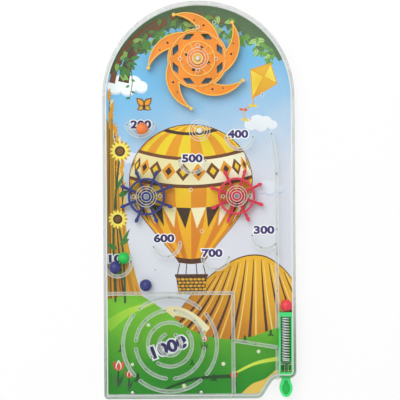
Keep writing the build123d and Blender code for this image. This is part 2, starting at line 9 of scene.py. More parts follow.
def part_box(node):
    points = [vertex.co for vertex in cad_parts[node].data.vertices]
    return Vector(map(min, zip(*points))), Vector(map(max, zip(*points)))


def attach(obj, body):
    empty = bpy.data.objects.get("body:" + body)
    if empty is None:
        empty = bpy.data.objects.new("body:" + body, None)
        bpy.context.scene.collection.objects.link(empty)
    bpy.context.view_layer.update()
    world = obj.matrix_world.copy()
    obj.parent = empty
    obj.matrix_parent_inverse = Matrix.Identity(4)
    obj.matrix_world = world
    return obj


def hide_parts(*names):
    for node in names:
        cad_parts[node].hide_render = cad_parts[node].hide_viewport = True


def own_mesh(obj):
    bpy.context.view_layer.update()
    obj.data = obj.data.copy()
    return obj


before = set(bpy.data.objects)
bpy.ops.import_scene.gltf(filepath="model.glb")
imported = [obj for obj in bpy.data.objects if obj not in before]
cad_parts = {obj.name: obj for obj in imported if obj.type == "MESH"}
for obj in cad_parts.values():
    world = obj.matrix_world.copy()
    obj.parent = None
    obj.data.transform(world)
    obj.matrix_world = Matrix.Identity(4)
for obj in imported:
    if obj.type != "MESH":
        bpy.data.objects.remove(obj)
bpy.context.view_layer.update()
print("frame loaded")

# Plan sizes below are in millimetres, as in the part; meshes are made in metres
millimetre = 0.001
case = {
    "halfWidth": 70.0,
    "domeY": 75.0,
    "bottom": -145.0,
    "exitY": -130.5,
    "notchLow": 44.2,
    "notchHigh": 53.5,
    "cornerRadius": 3.0,
    "notchRadius": 6.0,
    "exitRadius": 5.0,
    "leastRadius": 0.1,
    "wall": 1.8,
    "back": 1.6,
    "cardTop": 2.6,
    "roofUnder": 12.4,
    "roofTop": 13.8,
    "topRadius": 0.7,
}
dome = (0.0, case["domeY"])
hubs = ((-0.4, 103.0), (-38.5, 2.4), (27.5, 2.4))
bumperCentre = (0.6, 50.4)
laneX = 62.75
mazeCentre = (-21.9, -105.5)


# Shader maths on sockets: each operator, plain or reflected, adds one Math node
class Signal:
    def __init__(self, finish, socket):
        self.finish = finish
        self.socket = socket

    def maths(self, operation, *values):
        return self.finish.node("ShaderNodeMath", {"operation": operation}, dict(enumerate(values)))

    def __add__(self, other):
        return self.maths("ADD", self, other)

    def __radd__(self, other):
        return self.maths("ADD", other, self)

    def __sub__(self, other):
        return self.maths("SUBTRACT", self, other)

    def __rsub__(self, other):
        return self.maths("SUBTRACT", other, self)

    def __mul__(self, other):
        return self.maths("MULTIPLY", self, other)

    def __rmul__(self, other):
        return self.maths("MULTIPLY", other, self)

    def __pow__(self, other):
        return self.maths("POWER", self, other)

    def __rpow__(self, other):
        return self.maths("POWER", other, self)

    def fade(self, low, high):
        settings = {"interpolation_type": "SMOOTHSTEP"}
        return self.finish.node("ShaderNodeMapRange", settings, {0: self, 1: low, 2: high})


def addNode(tree, kind, settings=None, inputs=None):
    # One node with its settings, then the values or links of its sockets; gives its outputs
    node = tree.nodes.new(kind)
    for name, value in (settings or {}).items():
        setattr(node, name, value)
    for key, value in (inputs or {}).items():
        if isinstance(value, Signal):
            value = value.socket
        if isinstance(value, bpy.types.NodeSocket):
            tree.links.new(value, node.inputs[key])
        else:
            node.inputs[key].default_value = value
    return node.outputs


def ink(code):
    channels = [int(code[place : place + 2], 16) / 255 for place in (1, 3, 5)]
    linear = [c / 12.92 if c <= 0.04045 else ((c + 0.055) / 1.055) ** 2.4 for c in channels]
    return (*linear, 1.0)


class Finish:
    def __init__(self, name):
        self.material = bpy.data.materials.new(name)
        self.material.use_nodes = True
        self.tree = self.material.node_tree
        self.tree.nodes.clear()

    def node(self, kind, settings=None, inputs=None, output=0):
        return Signal(self, addNode(self.tree, kind, settings, inputs)[output])

    def place(self):
        return self.node("ShaderNodeTexCoord", output="Object")

    def axis(self, index):
        return self.node("ShaderNodeSeparateXYZ", inputs={0: self.place()}, output=index)

    def noise(self, size, detail=2.0, stretch=None):
        spot = self.place()
        if stretch:
            spot = self.node("ShaderNodeMapping", inputs={"Vector": spot, "Scale": stretch})
        inputs = {"Vector": spot, "Scale": 1 / (size * millimetre), "Detail": detail}
        return self.node("ShaderNodeTexNoise", inputs=inputs)

    def mix(self, low, high, factor):
        return self.node("ShaderNodeMix", {"data_type": "RGBA"}, {0: factor, 6: low, 7: high}, 2)

    def mixShader(self, first, second, factor):
        return self.node("ShaderNodeMixShader", inputs={0: factor, 1: first, 2: second})

    def bump(self, height, distance, strength):
        inputs = {"Height": height, "Distance": distance * millimetre, "Strength": strength}
        return self.node("ShaderNodeBump", inputs=inputs)

    def plastic(self, colour, roughness, normal=None, **sockets):
        inputs = {"Base Color": colour, "Roughness": roughness, "IOR": 1.49}
        if normal:
            inputs["Normal"] = normal
        inputs.update({name.replace("_", " "): value for name, value in sockets.items()})
        return self.node("ShaderNodeBsdfPrincipled", inputs=inputs)

    def show(self, shader):
        addNode(self.tree, "ShaderNodeOutputMaterial", inputs={"Surface": shader})
        return self.material


def grainFinish(name, dark, light, size, detail, roughness, spread=0.0, **sockets):
    # Two colours in a fine noise, which can vary the roughness too
    finish = Finish(name)
    grain = finish.noise(size, detail)
    colour = finish.mix(ink(dark), ink(light), grain)
    if spread:
        roughness = roughness + grain * spread
    return finish.show(finish.plastic(colour, roughness, **sockets))


def addObject(name, data):
    made = bpy.data.objects.new(name, data)
    bpy.context.scene.collection.objects.link(made)
    return made


def setMaterials(mesh, *materials):
    mesh.materials.clear()
    for material in materials:
        mesh.materials.append(material)


def soften(mesh, angle):
    mesh.shade_smooth()
    mesh.set_sharp_from_angle(angle=radians(angle))


def meshPiece(name, points, faces, materials, places=None, smoothAngle=None):
    mesh = bpy.data.meshes.new(name)
    mesh.from_pydata([Vector(point) * millimetre for point in points], [], faces)
    setMaterials(mesh, *materials)
    if places:
        mesh.polygons.foreach_set("material_index", places)
    mesh.validate()
    if smoothAngle is not None:
        soften(mesh, smoothAngle)
    return addObject(name, mesh)


def plainMesh(piece):
    # The evaluated piece becomes a plain mesh and its modifiers go
    graph = bpy.context.evaluated_depsgraph_get()
    graph.update()
    mesh = bpy.data.meshes.new_from_object(piece.evaluated_get(graph))
    piece.modifiers.clear()
    if piece.type == "MESH":
        piece.data = mesh
        return piece
    made = addObject(piece.name, mesh)
    bpy.data.objects.remove(piece)
    return made


def handOver(piece, slotName, body, *nodes):
    # Hides the nodes that a piece stands for and fixes the piece to the body that it rides on
    if nodes:
        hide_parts(*nodes)
    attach(piece, body)


def polar(centre, radius, angle):
    turn = radians(angle)
    return (centre[0] + radius * cos(turn), centre[1] + radius * sin(turn))


def spun(centre, x, y, turn):
    # The point x, y turned by an angle in radians and moved to a centre
    return (centre[0] + x * cos(turn) - y * sin(turn), centre[1] + x * sin(turn) + y * cos(turn))


def circleLoop(centre, radius, steps):
    return [polar(centre, radius, 360 * step / steps) for step in range(steps)]


def circleLoops(hub, radii, steps):
    return [circleLoop(hub, radius, steps) for radius in radii]


def roundedCorner(before, corner, after, radius, steps):
    # Points of the arc that rounds a corner between two straight sides
    here = Vector(corner)
    toBefore = (Vector(before) - here).normalized()
    toAfter = (Vector(after) - here).normalized()
    halfAngle = toBefore.angle(toAfter) / 2
    middle = here + (toBefore + toAfter).normalized() * radius / sin(halfAngle)
    reach = sqrt(max((middle - here).length_squared - radius * radius, 0))
    first = here + toBefore * reach - middle
    last = here + toAfter * reach - middle
    turn = first.angle_signed(last)
    return [spun(middle, first.x, first.y, -turn * step / steps) for step in range(steps + 1)]


def meet(pointA, wayA, pointB, wayB):
    cross = wayA[0] * wayB[1] - wayA[1] * wayB[0]
    share = ((pointB[0] - pointA[0]) * wayB[1] - (pointB[1] - pointA[1]) * wayB[0]) / cross
    return (pointA[0] + share * wayA[0], pointA[1] + share * wayA[1])


def caseOutline(inset, domeSteps=96, cornerSteps=8):
    # The case's outline, a given distance inside its outer face
    right = case["halfWidth"] - inset
    low = case["bottom"] + inset
    exitLevel = case["exitY"] + inset
    run = case["notchHigh"] - case["notchLow"]
    rise = case["exitY"] - case["bottom"]
    slant = hypot(run, rise)
    slantPoint = (case["notchLow"] - inset * rise / slant, case["bottom"] + inset * run / slant)
    least = case["leastRadius"]
    corners = [
        ((-right, low), max(case["cornerRadius"] - inset, least)),
        (meet(slantPoint, (run, rise), (0, low), (1, 0)), max(case["notchRadius"] - inset, least)),
        (meet(slantPoint, (run, rise), (0, exitLevel), (1, 0)), case["notchRadius"] + inset),
        ((right, exitLevel), max(case["exitRadius"] - inset, least)),
    ]
    loop = []
    ends = [(-right, dome[1]), *(corner for corner, radius in corners), (right, dome[1])]
    for place, (corner, radius) in enumerate(corners):
        loop += roundedCorner(ends[place], corner, ends[place + 2], radius, cornerSteps)
    loop += [polar(dome, right, 180 * step / domeSteps) for step in range(domeSteps + 1)]
    return loop


def holds(loop, x, y):
    inside = False
    for (ax, ay), (bx, by) in zip(loop, loop[1:] + loop[:1]):
        if (ay > y) != (by > y) and x < ax + (bx - ax) * (y - ay) / (by - ay):
            inside = not inside
    return inside


def cutLoops(loops):
    # Overlapping anticlockwise outlines become faces that don't overlap; each face comes with
    # the outlines that really hold its middle, latest first
    points, rows = [], []
    for loop in loops:
        rows.append(list(range(len(points), len(points) + len(loop))))
        points += [Vector(point) for point in loop]
    verts, _, found, _, _, owners = delaunay_2d_cdt(points, [], rows, 1, 1e-5, True)
    faces = []
    for face, owner in zip(found, owners):
        middle = sum((verts[index] for index in face), Vector((0, 0))) / len(face)
        held = [shape for shape in sorted(owner, reverse=True) if holds(loops[shape], *middle)]
        faces.append((list(face), held))
    return verts, faces


def openSides(faces):
    sides = {(a, b) for face in faces for a, b in zip(face, face[1:] + face[:1])}
    return sorted((a, b) for a, b in sides if (b, a) not in sides)


class Solid:
    # Points, faces and each face's place among the materials, gathered for one piece
    def __init__(self):
        self.points, self.faces, self.places = [], [], []

    def loft(self, loops, slots, cap):
        # Closed solid through pairs of an outline and its height, highest first, with a
        # material for each band between them and one for both ends
        first = len(self.points)
        count = len(loops[0][0])
        for loop, z in loops:
            self.points += [(x, y, z) for x, y in loop]
        for band, slot in enumerate(slots):
            base = first + band * count
            for step in range(count):
                after = (step + 1) % count
                below = base + count
                self.faces.append((base + step, below + step, below + after, base + after))
                self.places.append(slot)
        last = first + len(slots) * count
        self.faces.append(tuple(range(first, first + count)))
        self.faces.append(tuple(range(last, last + count))[::-1])
        self.places += [cap, cap]

    def build(self, name, materials, smoothAngle=None):
        return meshPiece(name, self.points, self.faces, materials, self.places, smoothAngle)


# How the print looks: sizes in millimetres, shares from 0 to 1
printLook = {
    "patchSize": 14,
    "patchShare": 0.22,
    "dotsPerMetre": 1800.0,
    "dotScatter": 0.12,
    "dotShare": 0.02,
    "grainSize": 0.35,
    "grainShare": 0.10,
    "roughness": 0.34,
    "gloss": 0.22,
}


def printFinish(name, colourA, colourB, start, end):
    # Satin printed card: a soft two-colour run, halftone dots and a fine paper grain. The run
    # goes from start to end, or where end is one number, outwards from start to that radius
    finish = Finish(name)
    dx = finish.axis(0) - start[0] * millimetre
    dy = finish.axis(1) - start[1] * millimetre
    if isinstance(end, tuple):
        wayX, wayY = end[0] - start[0], end[1] - start[1]
        length = (wayX * wayX + wayY * wayY) * millimetre
        run = dx * (wayX / length) + dy * (wayY / length)
    else:
        dx, dy = dx * (1 / (end * millimetre)), dy * (1 / (end * millimetre))
        run = (dx * dx + dy * dy) ** 0.5
    patch = finish.noise(printLook["patchSize"], 3.0)
    run = (run + (patch - 0.5) * printLook["patchShare"]).fade(0.0, 1.0)
    colour = finish.mix(ink(colourA), ink(colourB), run)
    dotInputs = {"Scale": printLook["dotsPerMetre"], "Randomness": printLook["dotScatter"]}
    dots = finish.node(
        "ShaderNodeTexVoronoi",
        {"voronoi_dimensions": "2D"},
        {"Vector": finish.place(), **dotInputs},
    )
    colour = finish.mix(colour, ink("#FFFFFF"), dots.fade(0.25, 0.5) * printLook["dotShare"])
    grain = finish.noise(printLook["grainSize"], 4.0)
    grainShade = grain.fade(0.56, 0.9) * printLook["grainShare"]
    colour = finish.mix(colour, ink("#3A2E28"), grainShade)
    roughness = printLook["roughness"] + finish.noise(3.0, 2.0) * 0.14
    normal = finish.bump(grain, 0.012, 0.35)
    gloss = printLook["gloss"]
    return finish.show(finish.plastic(colour, roughness, normal, Specular_IOR_Level=gloss))


# Inks of the printed card: the two colours of each and where its run starts and ends
cardInks = {
    "sky": ("#E0DDE9", "#74BCEC", (0, -12), (-30, 96)),
    "cloud": ("#E6E6F3", "#FCFCFF", (0, 30), (0, 90)),
    "cloudShade": ("#C3CBE8", "#D8DEF1", (0, 30), (0, 90)),
    "gold": ("#F2A90F", "#F6D31B", (-6, -46), (-6, 50)),
    "amber": ("#DB7C08", "#EE9E14", (-6, -46), (-6, 50)),
    "cream": ("#F3E0A6", "#FDF5D8", (-30, 0), (30, 0)),
    "brown": ("#4E2A15", "#7A421A", (0, -60), (0, 60)),
    "darkBrown": ("#2A1810", "#50301A", (-60, 0), (60, 0)),
    "straw": ("#A87A14", "#D9AB2B", (-70, 0), (-40, 0)),
    "field": ("#C87A10", "#F2B321", (10, -100), (40, -45)),
    "fieldLight": ("#F0C457", "#F8E09A", (20, -100), (60, -60)),
    "leafDark": ("#2E5230", "#5F7A55", (-60, 60), (60, 140)),
    "leaf": ("#3E7A30", "#76AD4A", (-60, 60), (60, 140)),
    "leafPale": ("#8ABA58", "#B9D784", (-60, 60), (60, 140)),
    "bark": ("#4F2C1D", "#8A5A38", (-60, 90), (10, 140)),
    "meadow": ("#1E8A12", "#7CC427", (0, -136), (0, -72)),
    "meadowLight": ("#93CC30", "#D3E04A", (-66, -90), (-30, -66)),
    "meadowDark": ("#123F12", "#24591C", (0, -140), (0, -80)),
    "kite": ("#F2C61F", "#FFE55C", (46, 86), 15),
    "kiteDark": ("#E59A12", "#F2BC30", (34, 70), (58, 100)),
    "petalRed": ("#A82C18", "#E0603F", (0, -140), (0, -110)),
    "petalWhite": ("#F0EADC", "#FDFDFB", (0, -140), (0, -90)),
    "number": ("#2C1858", "#432673", (-60, 0), (60, 0)),
    "numberLine": ("#F6F3FA", "#FDFDFF", (-60, 0), (60, 0)),
}
inkNames = list(cardInks)
inkFinishes = []
for name, look in cardInks.items():
    words = "".join(" " + letter.lower() if letter.isupper() else letter for letter in name)
    inkFinishes.append(printFinish("card " + words, *look))
paintLoops = []
paintInks = []
# The card's outline lies this far inside the case's; the print's shapes reach past it
cardEdge = {"inset": 2.1, "side": 68.6, "low": -143.6, "domeRadius": 68.8}


def paint(inkName, loop):
    # A flat shape of one ink; a later shape covers an earlier one
    area = sum(a[0] * b[1] - b[0] * a[1] for a, b in zip(loop, loop[1:] + loop[:1]))
    if abs(area) < 0.002:
        return
    paintLoops.append(loop if area > 0 else loop[::-1])
    paintInks.append(inkNames.index(inkName))


def ellipseLoop(centre, reachX, reachY, steps=28):
    turns = [2 * pi * step / steps for step in range(steps)]
    return [(centre[0] + reachX * cos(turn), centre[1] + reachY * sin(turn)) for turn in turns]


def leafLoop(root, length, width, angle, steps=7):
    sides = []
    for side in (1, -1):
        for step in range(steps):
            share = step / steps if side > 0 else 1 - step / steps
            y = side * width / 2 * sin(pi * share**0.8)
            sides.append(spun(root, length * share, y, radians(angle)))
    return sides


def smoothLine(points, steps=8):
    line = []
    for place in range(len(points) - 1):
        p0 = Vector(points[max(place - 1, 0)])
        p1 = Vector(points[place])
        p2 = Vector(points[place + 1])
        p3 = Vector(points[min(place + 2, len(points) - 1)])
        for step in range(steps):
            t = step / steps
            spot = 2 * p1 + (p2 - p0) * t + (2 * p0 - 5 * p1 + 4 * p2 - p3) * t**2
            spot = (spot + (3 * p1 - p0 - 3 * p2 + p3) * t**3) / 2
            line.append((spot.x, spot.y))
    line.append(tuple(points[-1]))
    return line


def ribbonLoop(points, startWidth, endWidth):
    # Band of changing width along a smooth line through the points
    line = smoothLine(points)
    left, right = [], []
    for place, point in enumerate(line):
        before = Vector(line[max(place - 1, 0)])
        after = Vector(line[min(place + 1, len(line) - 1)])
        way = (after - before).normalized()
        half = (startWidth + (endWidth - startWidth) * place / (len(line) - 1)) / 2
        left.append((point[0] - way.y * half, point[1] + way.x * half))
        right.append((point[0] + way.y * half, point[1] - way.x * half))
    return left + right[::-1]


def paintCloud(x, y, size):
    puffs = ((-9, 0, 6), (-3.5, 3.2, 6.5), (4, 2.4, 6), (10, -0.4, 4.6), (0, -1.6, 5.6))
    for inkName, drop in (("cloudShade", -1.4), ("cloud", 0.0)):
        for puffX, puffY, radius in puffs:
            centre = (x + puffX * size, y + (puffY + drop) * size)
            paint(inkName, ellipseLoop(centre, radius * size, radius * size * 0.86))


balloon = {
    "x": -6.0,
    "widest": 14.0,
    "halfWidth": 45.0,
    "rise": 41.0,
    "mouthY": -46.0,
    "mouth": 9.0,
    "gores": 12,
    "sag": 7.0,
    "line": 1.012,
    "basketDrop": 10,
    "basketHeight": 14,
}


def balloonPoint(across, down):
    # across runs from -1 to 1, down from 0 at the crown to 1 at the mouth
    if down < 0.5:
        width = balloon["halfWidth"] * sin(pi * down)
        y = balloon["widest"] + balloon["rise"] * cos(pi * down)
    else:
        t = (down - 0.5) * 2
        corners = (
            (balloon["halfWidth"], balloon["widest"]),
            (balloon["halfWidth"], balloon["widest"] - 24),
            (22.0, balloon["mouthY"] + 20),
            (balloon["mouth"], balloon["mouthY"]),
        )
        shares = ((1 - t) ** 3, 3 * t * (1 - t) ** 2, 3 * t * t * (1 - t), t**3)
        width = sum(share * corner[0] for share, corner in zip(shares, corners))
        y = sum(share * corner[1] for share, corner in zip(shares, corners))
    bend = sin(across * pi / 2)
    sag = balloon["sag"] * width / balloon["halfWidth"] * (1 - bend * bend)
    return (balloon["x"] + width * bend, y - sag)


def balloonPatch(left, right, top, bottom, steps=16):
    tall, wide = bottom - top, right - left
    loop = [balloonPoint(left, top + tall * step / steps) for step in range(steps + 1)]
    loop += [balloonPoint(left + wide * step / 4, bottom) for step in range(1, 4)]
    loop += [balloonPoint(right, bottom - tall * step / steps) for step in range(steps + 1)]
    loop += [balloonPoint(right - wide * step / 4, top) for step in range(1, 4)]
    return loop


def paintBalloon():
    gores = balloon["gores"]
    edges = [-1 + 2 * place / gores for place in range(gores + 1)]
    outline = [balloonPoint(-1, 0.006 + 0.994 * step / 40) for step in range(41)]
    outline += [balloonPoint(1, 1 - 0.994 * step / 40) for step in range(41)]
    middle = Vector((balloon["x"], 5))
    larger = [tuple(middle + (Vector(point) - middle) * balloon["line"]) for point in outline]
    paint("brown", larger)
    for place, (left, right) in enumerate(zip(edges, edges[1:])):
        paint("gold" if place % 2 else "amber", balloonPatch(left, right, 0.004, 1))
    for place, (left, right) in enumerate(zip(edges, edges[1:])):
        centre = (left + right) / 2
        paint("cream", balloonPatch(left, right, 0.33, 0.47, 4))
        tall = ((centre, 0.35), (right, 0.40), (centre, 0.45), (left, 0.40))
        small = ((centre, 0.375), (centre + 0.04, 0.40), (centre, 0.425), (centre - 0.04, 0.40))
        drop = ((left, 0.60), (right, 0.60), (centre, 0.74))
        bands = ((0.31, 0.33, "brown"), (0.47, 0.49, "brown"), (0.12, 0.15, "darkBrown"))
        paint("brown" if place % 2 else "amber", [balloonPoint(*corner) for corner in tall])
        paint("gold" if place % 2 else "darkBrown", [balloonPoint(*corner) for corner in small])
        for top, bottom, inkName in bands:
            paint(inkName, balloonPatch(left, right, top, bottom, 2))
        paint("darkBrown" if place % 2 else "cream", [balloonPoint(*corner) for corner in drop])
    paint("brown", balloonPatch(-1, 1, 0.965, 1.0, 4))
    x, mouthY = balloon["x"], balloon["mouthY"]
    top = mouthY - balloon["basketDrop"]
    bottom = top - balloon["basketHeight"]
    for share in (-1, -0.4, 0.4, 1):
        rope = [(x + share * 8.6, mouthY - 1), (x + share * 10.5, top)]
        paint("darkBrown", ribbonLoop(rope, 0.7, 0.7))
    paint("darkBrown", [(x - 11.5, top), (x + 11.5, top), (x + 9.5, bottom), (x - 9.5, bottom)])
    for row in range(5):
        for column in range(7):
            across = x - 9.0 + column * 3.0 + (row % 2) * 0.9 - 0.45
            weave = ellipseLoop((across, top - 2.6 - row * 2.45), 1.35, 0.95, 12)
            paint("straw" if (row + column) % 2 else "field", weave)
    rimHigh, rimLow = top + 1.2, top - 1
    paint("brown", [(x - 12.3, rimHigh), (x + 12.3, rimHigh), (x + 12, rimLow), (x - 12, rimLow)])


reeds = {"seed": 5, "stalks": 34, "foot": -80.0, "earLength": 7.0}


def paintReeds():
    # Tall ripe stalks with ears along the card's left edge
    chance = random.Random(reeds["seed"])
    side, low = -cardEdge["side"], reeds["foot"]
    edge = smoothLine([(side, 63), (-61, 38), (-57, 0), (-52, -40), (-40, low)])
    paint("straw", edge + [(side, low)])
    for stalk in range(reeds["stalks"]):
        share = (stalk + 0.5) / reeds["stalks"]
        foot = (side + 29.6 * share, low)
        headX = -66 + 11 * share + chance.uniform(-1, 1)
        head = (headX, 70 - 64 * share + chance.uniform(-16, 10))
        bend = (foot[0] * 0.35 + head[0] * 0.65 - 2.5 * share, (foot[1] + head[1]) / 2)
        tone = chance.choice(("straw", "straw", "field", "kiteDark", "amber", "bark"))
        paint(tone, ribbonLoop([foot, bend, head], 1.9, 0.5))
        ear = "kiteDark" if tone in ("straw", "bark") else "fieldLight"
        lean = 90 + chance.uniform(-14, 10)
        paint(ear, leafLoop(head, reeds["earLength"], 2.0, lean))
        for grain in range(4):
            spot = polar(head, 1.2 + grain * 1.4, lean)
            paint(ear, leafLoop(spot, 2.2, 0.9, lean + 38 * (-1) ** grain, 4))
    for x, y, way in ((-62, 6, 1), (-58, -34, 1), (-64, -58, 1), (-55, -60, -1)):
        paint("leaf", leafLoop((x, y), 15, 2.6, 90 - way * 28))


field = {
    "furrows": 10,
    "top": (12.0, 62.0),
    "low": (-34.0, 92.0),
    "foot": -106,
    "crest": ((-26, -98), (-12, -78), (6, -58), (28, -44), (46, -42), (60, -50), (68.6, -60)),
}


def paintField():
    # Golden ploughed field with furrows that run together towards its crest
    side, low = cardEdge["side"], cardEdge["low"]
    crest = smoothLine(field["crest"])
    corners = [(side, field["foot"]), (-26, field["foot"])]
    paint("brown", [(x, y + 0.9) for x, y in crest] + corners)
    paint("field", crest + corners)
    for furrow in range(field["furrows"]):
        share = furrow / (field["furrows"] - 1)
        x = field["top"][0] + (field["top"][1] - field["top"][0]) * share
        y = min(crest, key=lambda spot: abs(spot[0] - x))[1] - 2.5
        foot = (field["low"][0] + (field["low"][1] - field["low"][0]) * share, field["foot"] - 1)
        middle = (x * 0.6 + foot[0] * 0.4, (y + foot[1]) / 2)
        groove = [(x, y), middle, foot]
        shine = [(x + 1.6, y - 1), (middle[0] + 3, middle[1]), (foot[0] + 5, foot[1])]
        paint("darkBrown" if furrow % 3 == 1 else "bark", ribbonLoop(groove, 0.4, 2.6))
        paint("fieldLight", ribbonLoop(shine, 0.3, 1.4))
    paint("cream", ribbonLoop([(-34, -88), (-20, -82), (-6, -86), (6, -96)], 9.0, 4.0))
    edge = [(-side, -73), (-46, -70), (-28, -80), (-4, -97), (24, -103), (50, -97), (side, -86)]
    paint("meadow", smoothLine(edge) + [(side, low), (-side, low)])
    paint("meadowLight", ribbonLoop([(-side, -93), (-52, -82), (-34, -76)], 9.0, 1.2))
    paint("meadowLight", ribbonLoop([(20, -131), (40, -121), (60, -117)], 1.2, 3.4))
    paint("meadowDark", ribbonLoop([(-30, -141), (-4, -132), (26, -130)], 1.2, 3.0))
    path = smoothLine([(29, -144), (38, -136), (48, -132), (55, -126)])
    paint("fieldLight", path + [(side, -126), (side, low)])


def paintTuft(x, y, size):
    for blade in range(-3, 4):
        length = size * (1 - 0.07 * abs(blade))
        root = (x + blade * size * 0.14, y)
        paint("meadowDark", leafLoop(root, length, size * 0.16, 90 + blade * 17, 4))


def paintTulip(x, y, size):
    top = (x + size * 0.06, y + size * 0.82)
    stem = [(x, y), (x + size * 0.06, y + size * 0.9)]
    paint("meadowDark", ribbonLoop(stem, size * 0.1, size * 0.08))
    for inkName, root, length, width, angle in (
        ("leaf", (x, y), 0.85, 0.22, 112),
        ("leafDark", (x, y), 0.75, 0.2, 66),
        ("petalRed", top, 0.55, 0.3, 118),
        ("petalRed", top, 0.55, 0.3, 62),
        ("petalWhite", top, 0.55, 0.3, 90),
        ("petalRed", top, 0.46, 0.2, 90),
    ):
        paint(inkName, leafLoop(root, size * length, size * width, angle, 5))


def paintDaisy(x, y, size):
    for petal in range(8):
        paint("petalWhite", leafLoop((x, y), size, size * 0.42, 45 * petal, 4))
    paint("kite", ellipseLoop((x, y), size * 0.34, size * 0.34, 12))


def paintSunflower(x, y, size, stem):
    paint("leafDark", ribbonLoop(stem, 1.6, 1.3))
    for share, lean in ((0.35, 150), (0.7, 30)):
        spot = [a * (1 - share) + b * share for a, b in zip(stem[0], stem[-1])]
        paint("leaf", leafLoop(spot, size * 1.1, size * 0.5, lean, 6))
    for ring, inkName in ((0, "straw"), (1, "kite")):
        for petal in range(14):
            angle = (petal + 0.5 * ring) * 360 / 14
            root = polar((x, y), size * 0.3, angle)
            paint(inkName, leafLoop(root, size * (0.78 - 0.1 * ring), size * 0.3, angle, 5))
    paint("darkBrown", ellipseLoop((x, y), size * 0.47, size * 0.47))
    paint("brown", ellipseLoop((x, y), size * 0.34, size * 0.34))
    for seed in range(18):
        spot = polar((x, y), size * 0.3 * sqrt(seed / 18), seed * 137.5)
        paint("straw", ellipseLoop(spot, size * 0.028, size * 0.028, 6))


def paintKite(x, y, turn):
    def spot(across, up):
        return spun((x, y), across, up, radians(turn))

    corners = [spot(0, 13), spot(10.5, 2.5), spot(0, -15), spot(-10.5, 2.5)]
    middle = spot(0, 2.5)
    tail = [corners[2], spot(3, -20), spot(-2, -26), spot(3, -32)]
    paint("amber", ribbonLoop(tail, 0.9, 0.5))
    for place, bow in enumerate(tail[1:]):
        for way in (20, 200):
            paint("petalRed" if place % 2 else "gold", leafLoop(bow, 3.4, 2.2, way + turn, 4))
    paint("amber", [spot(0, 14), spot(11.4, 2.5), spot(0, -16.2), spot(-11.4, 2.5)])
    for place, corner in enumerate(corners):
        after = corners[(place + 1) % 4]
        paint("kiteDark" if place % 2 else "kite", [corner, after, middle])
    paint("amber", ribbonLoop([corners[0], corners[2]], 0.6, 0.6))
    paint("amber", ribbonLoop([corners[3], corners[1]], 0.6, 0.6))


def paintButterfly(x, y, size):
    for side in (1, -1):
        for inkName, gap, length, width, lean in (
            ("brown", 0.0, 1.0, 0.62, 42),
            ("brown", 0.0, 0.7, 0.5, 118),
            ("amber", 0.12, 0.72, 0.4, 42),
            ("straw", 0.12, 0.46, 0.3, 118),
        ):
            angle = 90 - side * lean
            root = polar((x, y), size * gap, angle)
            paint(inkName, leafLoop(root, size * length, size * width, angle, 6))
        feeler = [(x, y + size * 0.35), (x + side * size * 0.22, y + size * 0.7)]
        paint("darkBrown", ribbonLoop(feeler, 0.3, 0.3))
    paint("darkBrown", ellipseLoop((x, y), size * 0.07, size * 0.42, 14))


garland = {"seed": 11, "leafCount": 150, "bandDepth": 17.0, "leafLength": 8.0}


def paintGarland():
    # Vine and leaves along the inside of the dome, denser at the top
    chance = random.Random(garland["seed"])
    edge = cardEdge["domeRadius"]
    band = [polar(dome, edge, angle) for angle in range(24, 166, 4)]
    for place, angle in enumerate(range(165, 22, -3)):
        depth = garland["bandDepth"] * sin(radians((angle - 20) * 180 / 148)) ** 0.6
        band.append(polar(dome, edge - depth * (0.78 + 0.22 * (place % 2)), angle))
    paint("leafDark", band)
    for inkName, radius, dip, angles, startWidth, endWidth in (
        ("bark", 62, 5, range(168, 60, -12), 8.0, 1.6),
        ("brown", 64.5, 0, range(170, 112, -8), 4.5, 1.2),
        ("brown", 60, 5, range(166, 64, -12), 1.6, 0.6),
    ):
        vine = [polar(dome, radius - dip * abs(angle - 100) / 60, angle) for angle in angles]
        paint(inkName, ribbonLoop(vine, startWidth, endWidth))
    for count in range(garland["leafCount"]):
        angle = 26 + 138 * chance.random()
        depth = garland["bandDepth"] * sin(radians((angle - 16) * 180 / 156)) ** 0.6
        inset = depth * chance.random() ** 0.8
        root = polar(dome, 65.5 - inset, angle)
        length = garland["leafLength"] * (0.6 + 0.5 * chance.random())
        way = angle + 180 + chance.uniform(-75, 75)
        tip = Vector(polar(root, length, way))
        if (tip - Vector(dome)).length > 66.5:
            way += 180
        tone = chance.choice(("leafDark", "leaf", "leaf", "leafPale"))
        paint(tone, leafLoop(root, length, length * 0.46, way, 5))
        vein = ribbonLoop([root, polar(root, length * 0.8, way)], 0.35, 0.15)
        paint("leaf" if tone == "leafDark" else "leafDark", vein)
    for x, y, drop in ((-50, 100, 26), (52, 112, 14)):
        line = [(x, y), (x + 1.4, y - drop * 0.5), (x - 0.8, y - drop)]
        paint("leafDark", ribbonLoop(line, 0.7, 0.4))
        for place in range(6):
            spot = (x + 0.6 * (-1) ** place, y - drop * (place + 0.6) / 6)
            paint("leaf", leafLoop(spot, 3.4, 1.7, -90 + 62 * (-1) ** place, 5))


# Where each score number is printed
numbers = {
    "200": (-42.5, 55.6),
    "400": (28.9, 48.1),
    "500": (-4.8, 30.4),
    "600": (-26.0, -28.3),
    "700": (9.3, -39.4),
    "300": (47.7, -22.6),
    "100": (-59.1, -43.0),
}
numberForm = {"size": (14.4, 5.4), "line": 0.125, "body": 0.045}


def textFaces(body, bold):
    curve = bpy.data.curves.new("number " + body, "FONT")
    curve.body = body
    curve.size = 1.0
    curve.offset = bold
    curve.resolution_u = 3
    curve.align_x = "CENTER"
    curve.align_y = "CENTER"
    made = plainMesh(addObject("number " + body, curve))
    spots = [vertex.co.xy.copy() for vertex in made.data.vertices]
    faces = [[spots[index] for index in face.vertices] for face in made.data.polygons]
    bpy.data.objects.remove(made)
    return faces


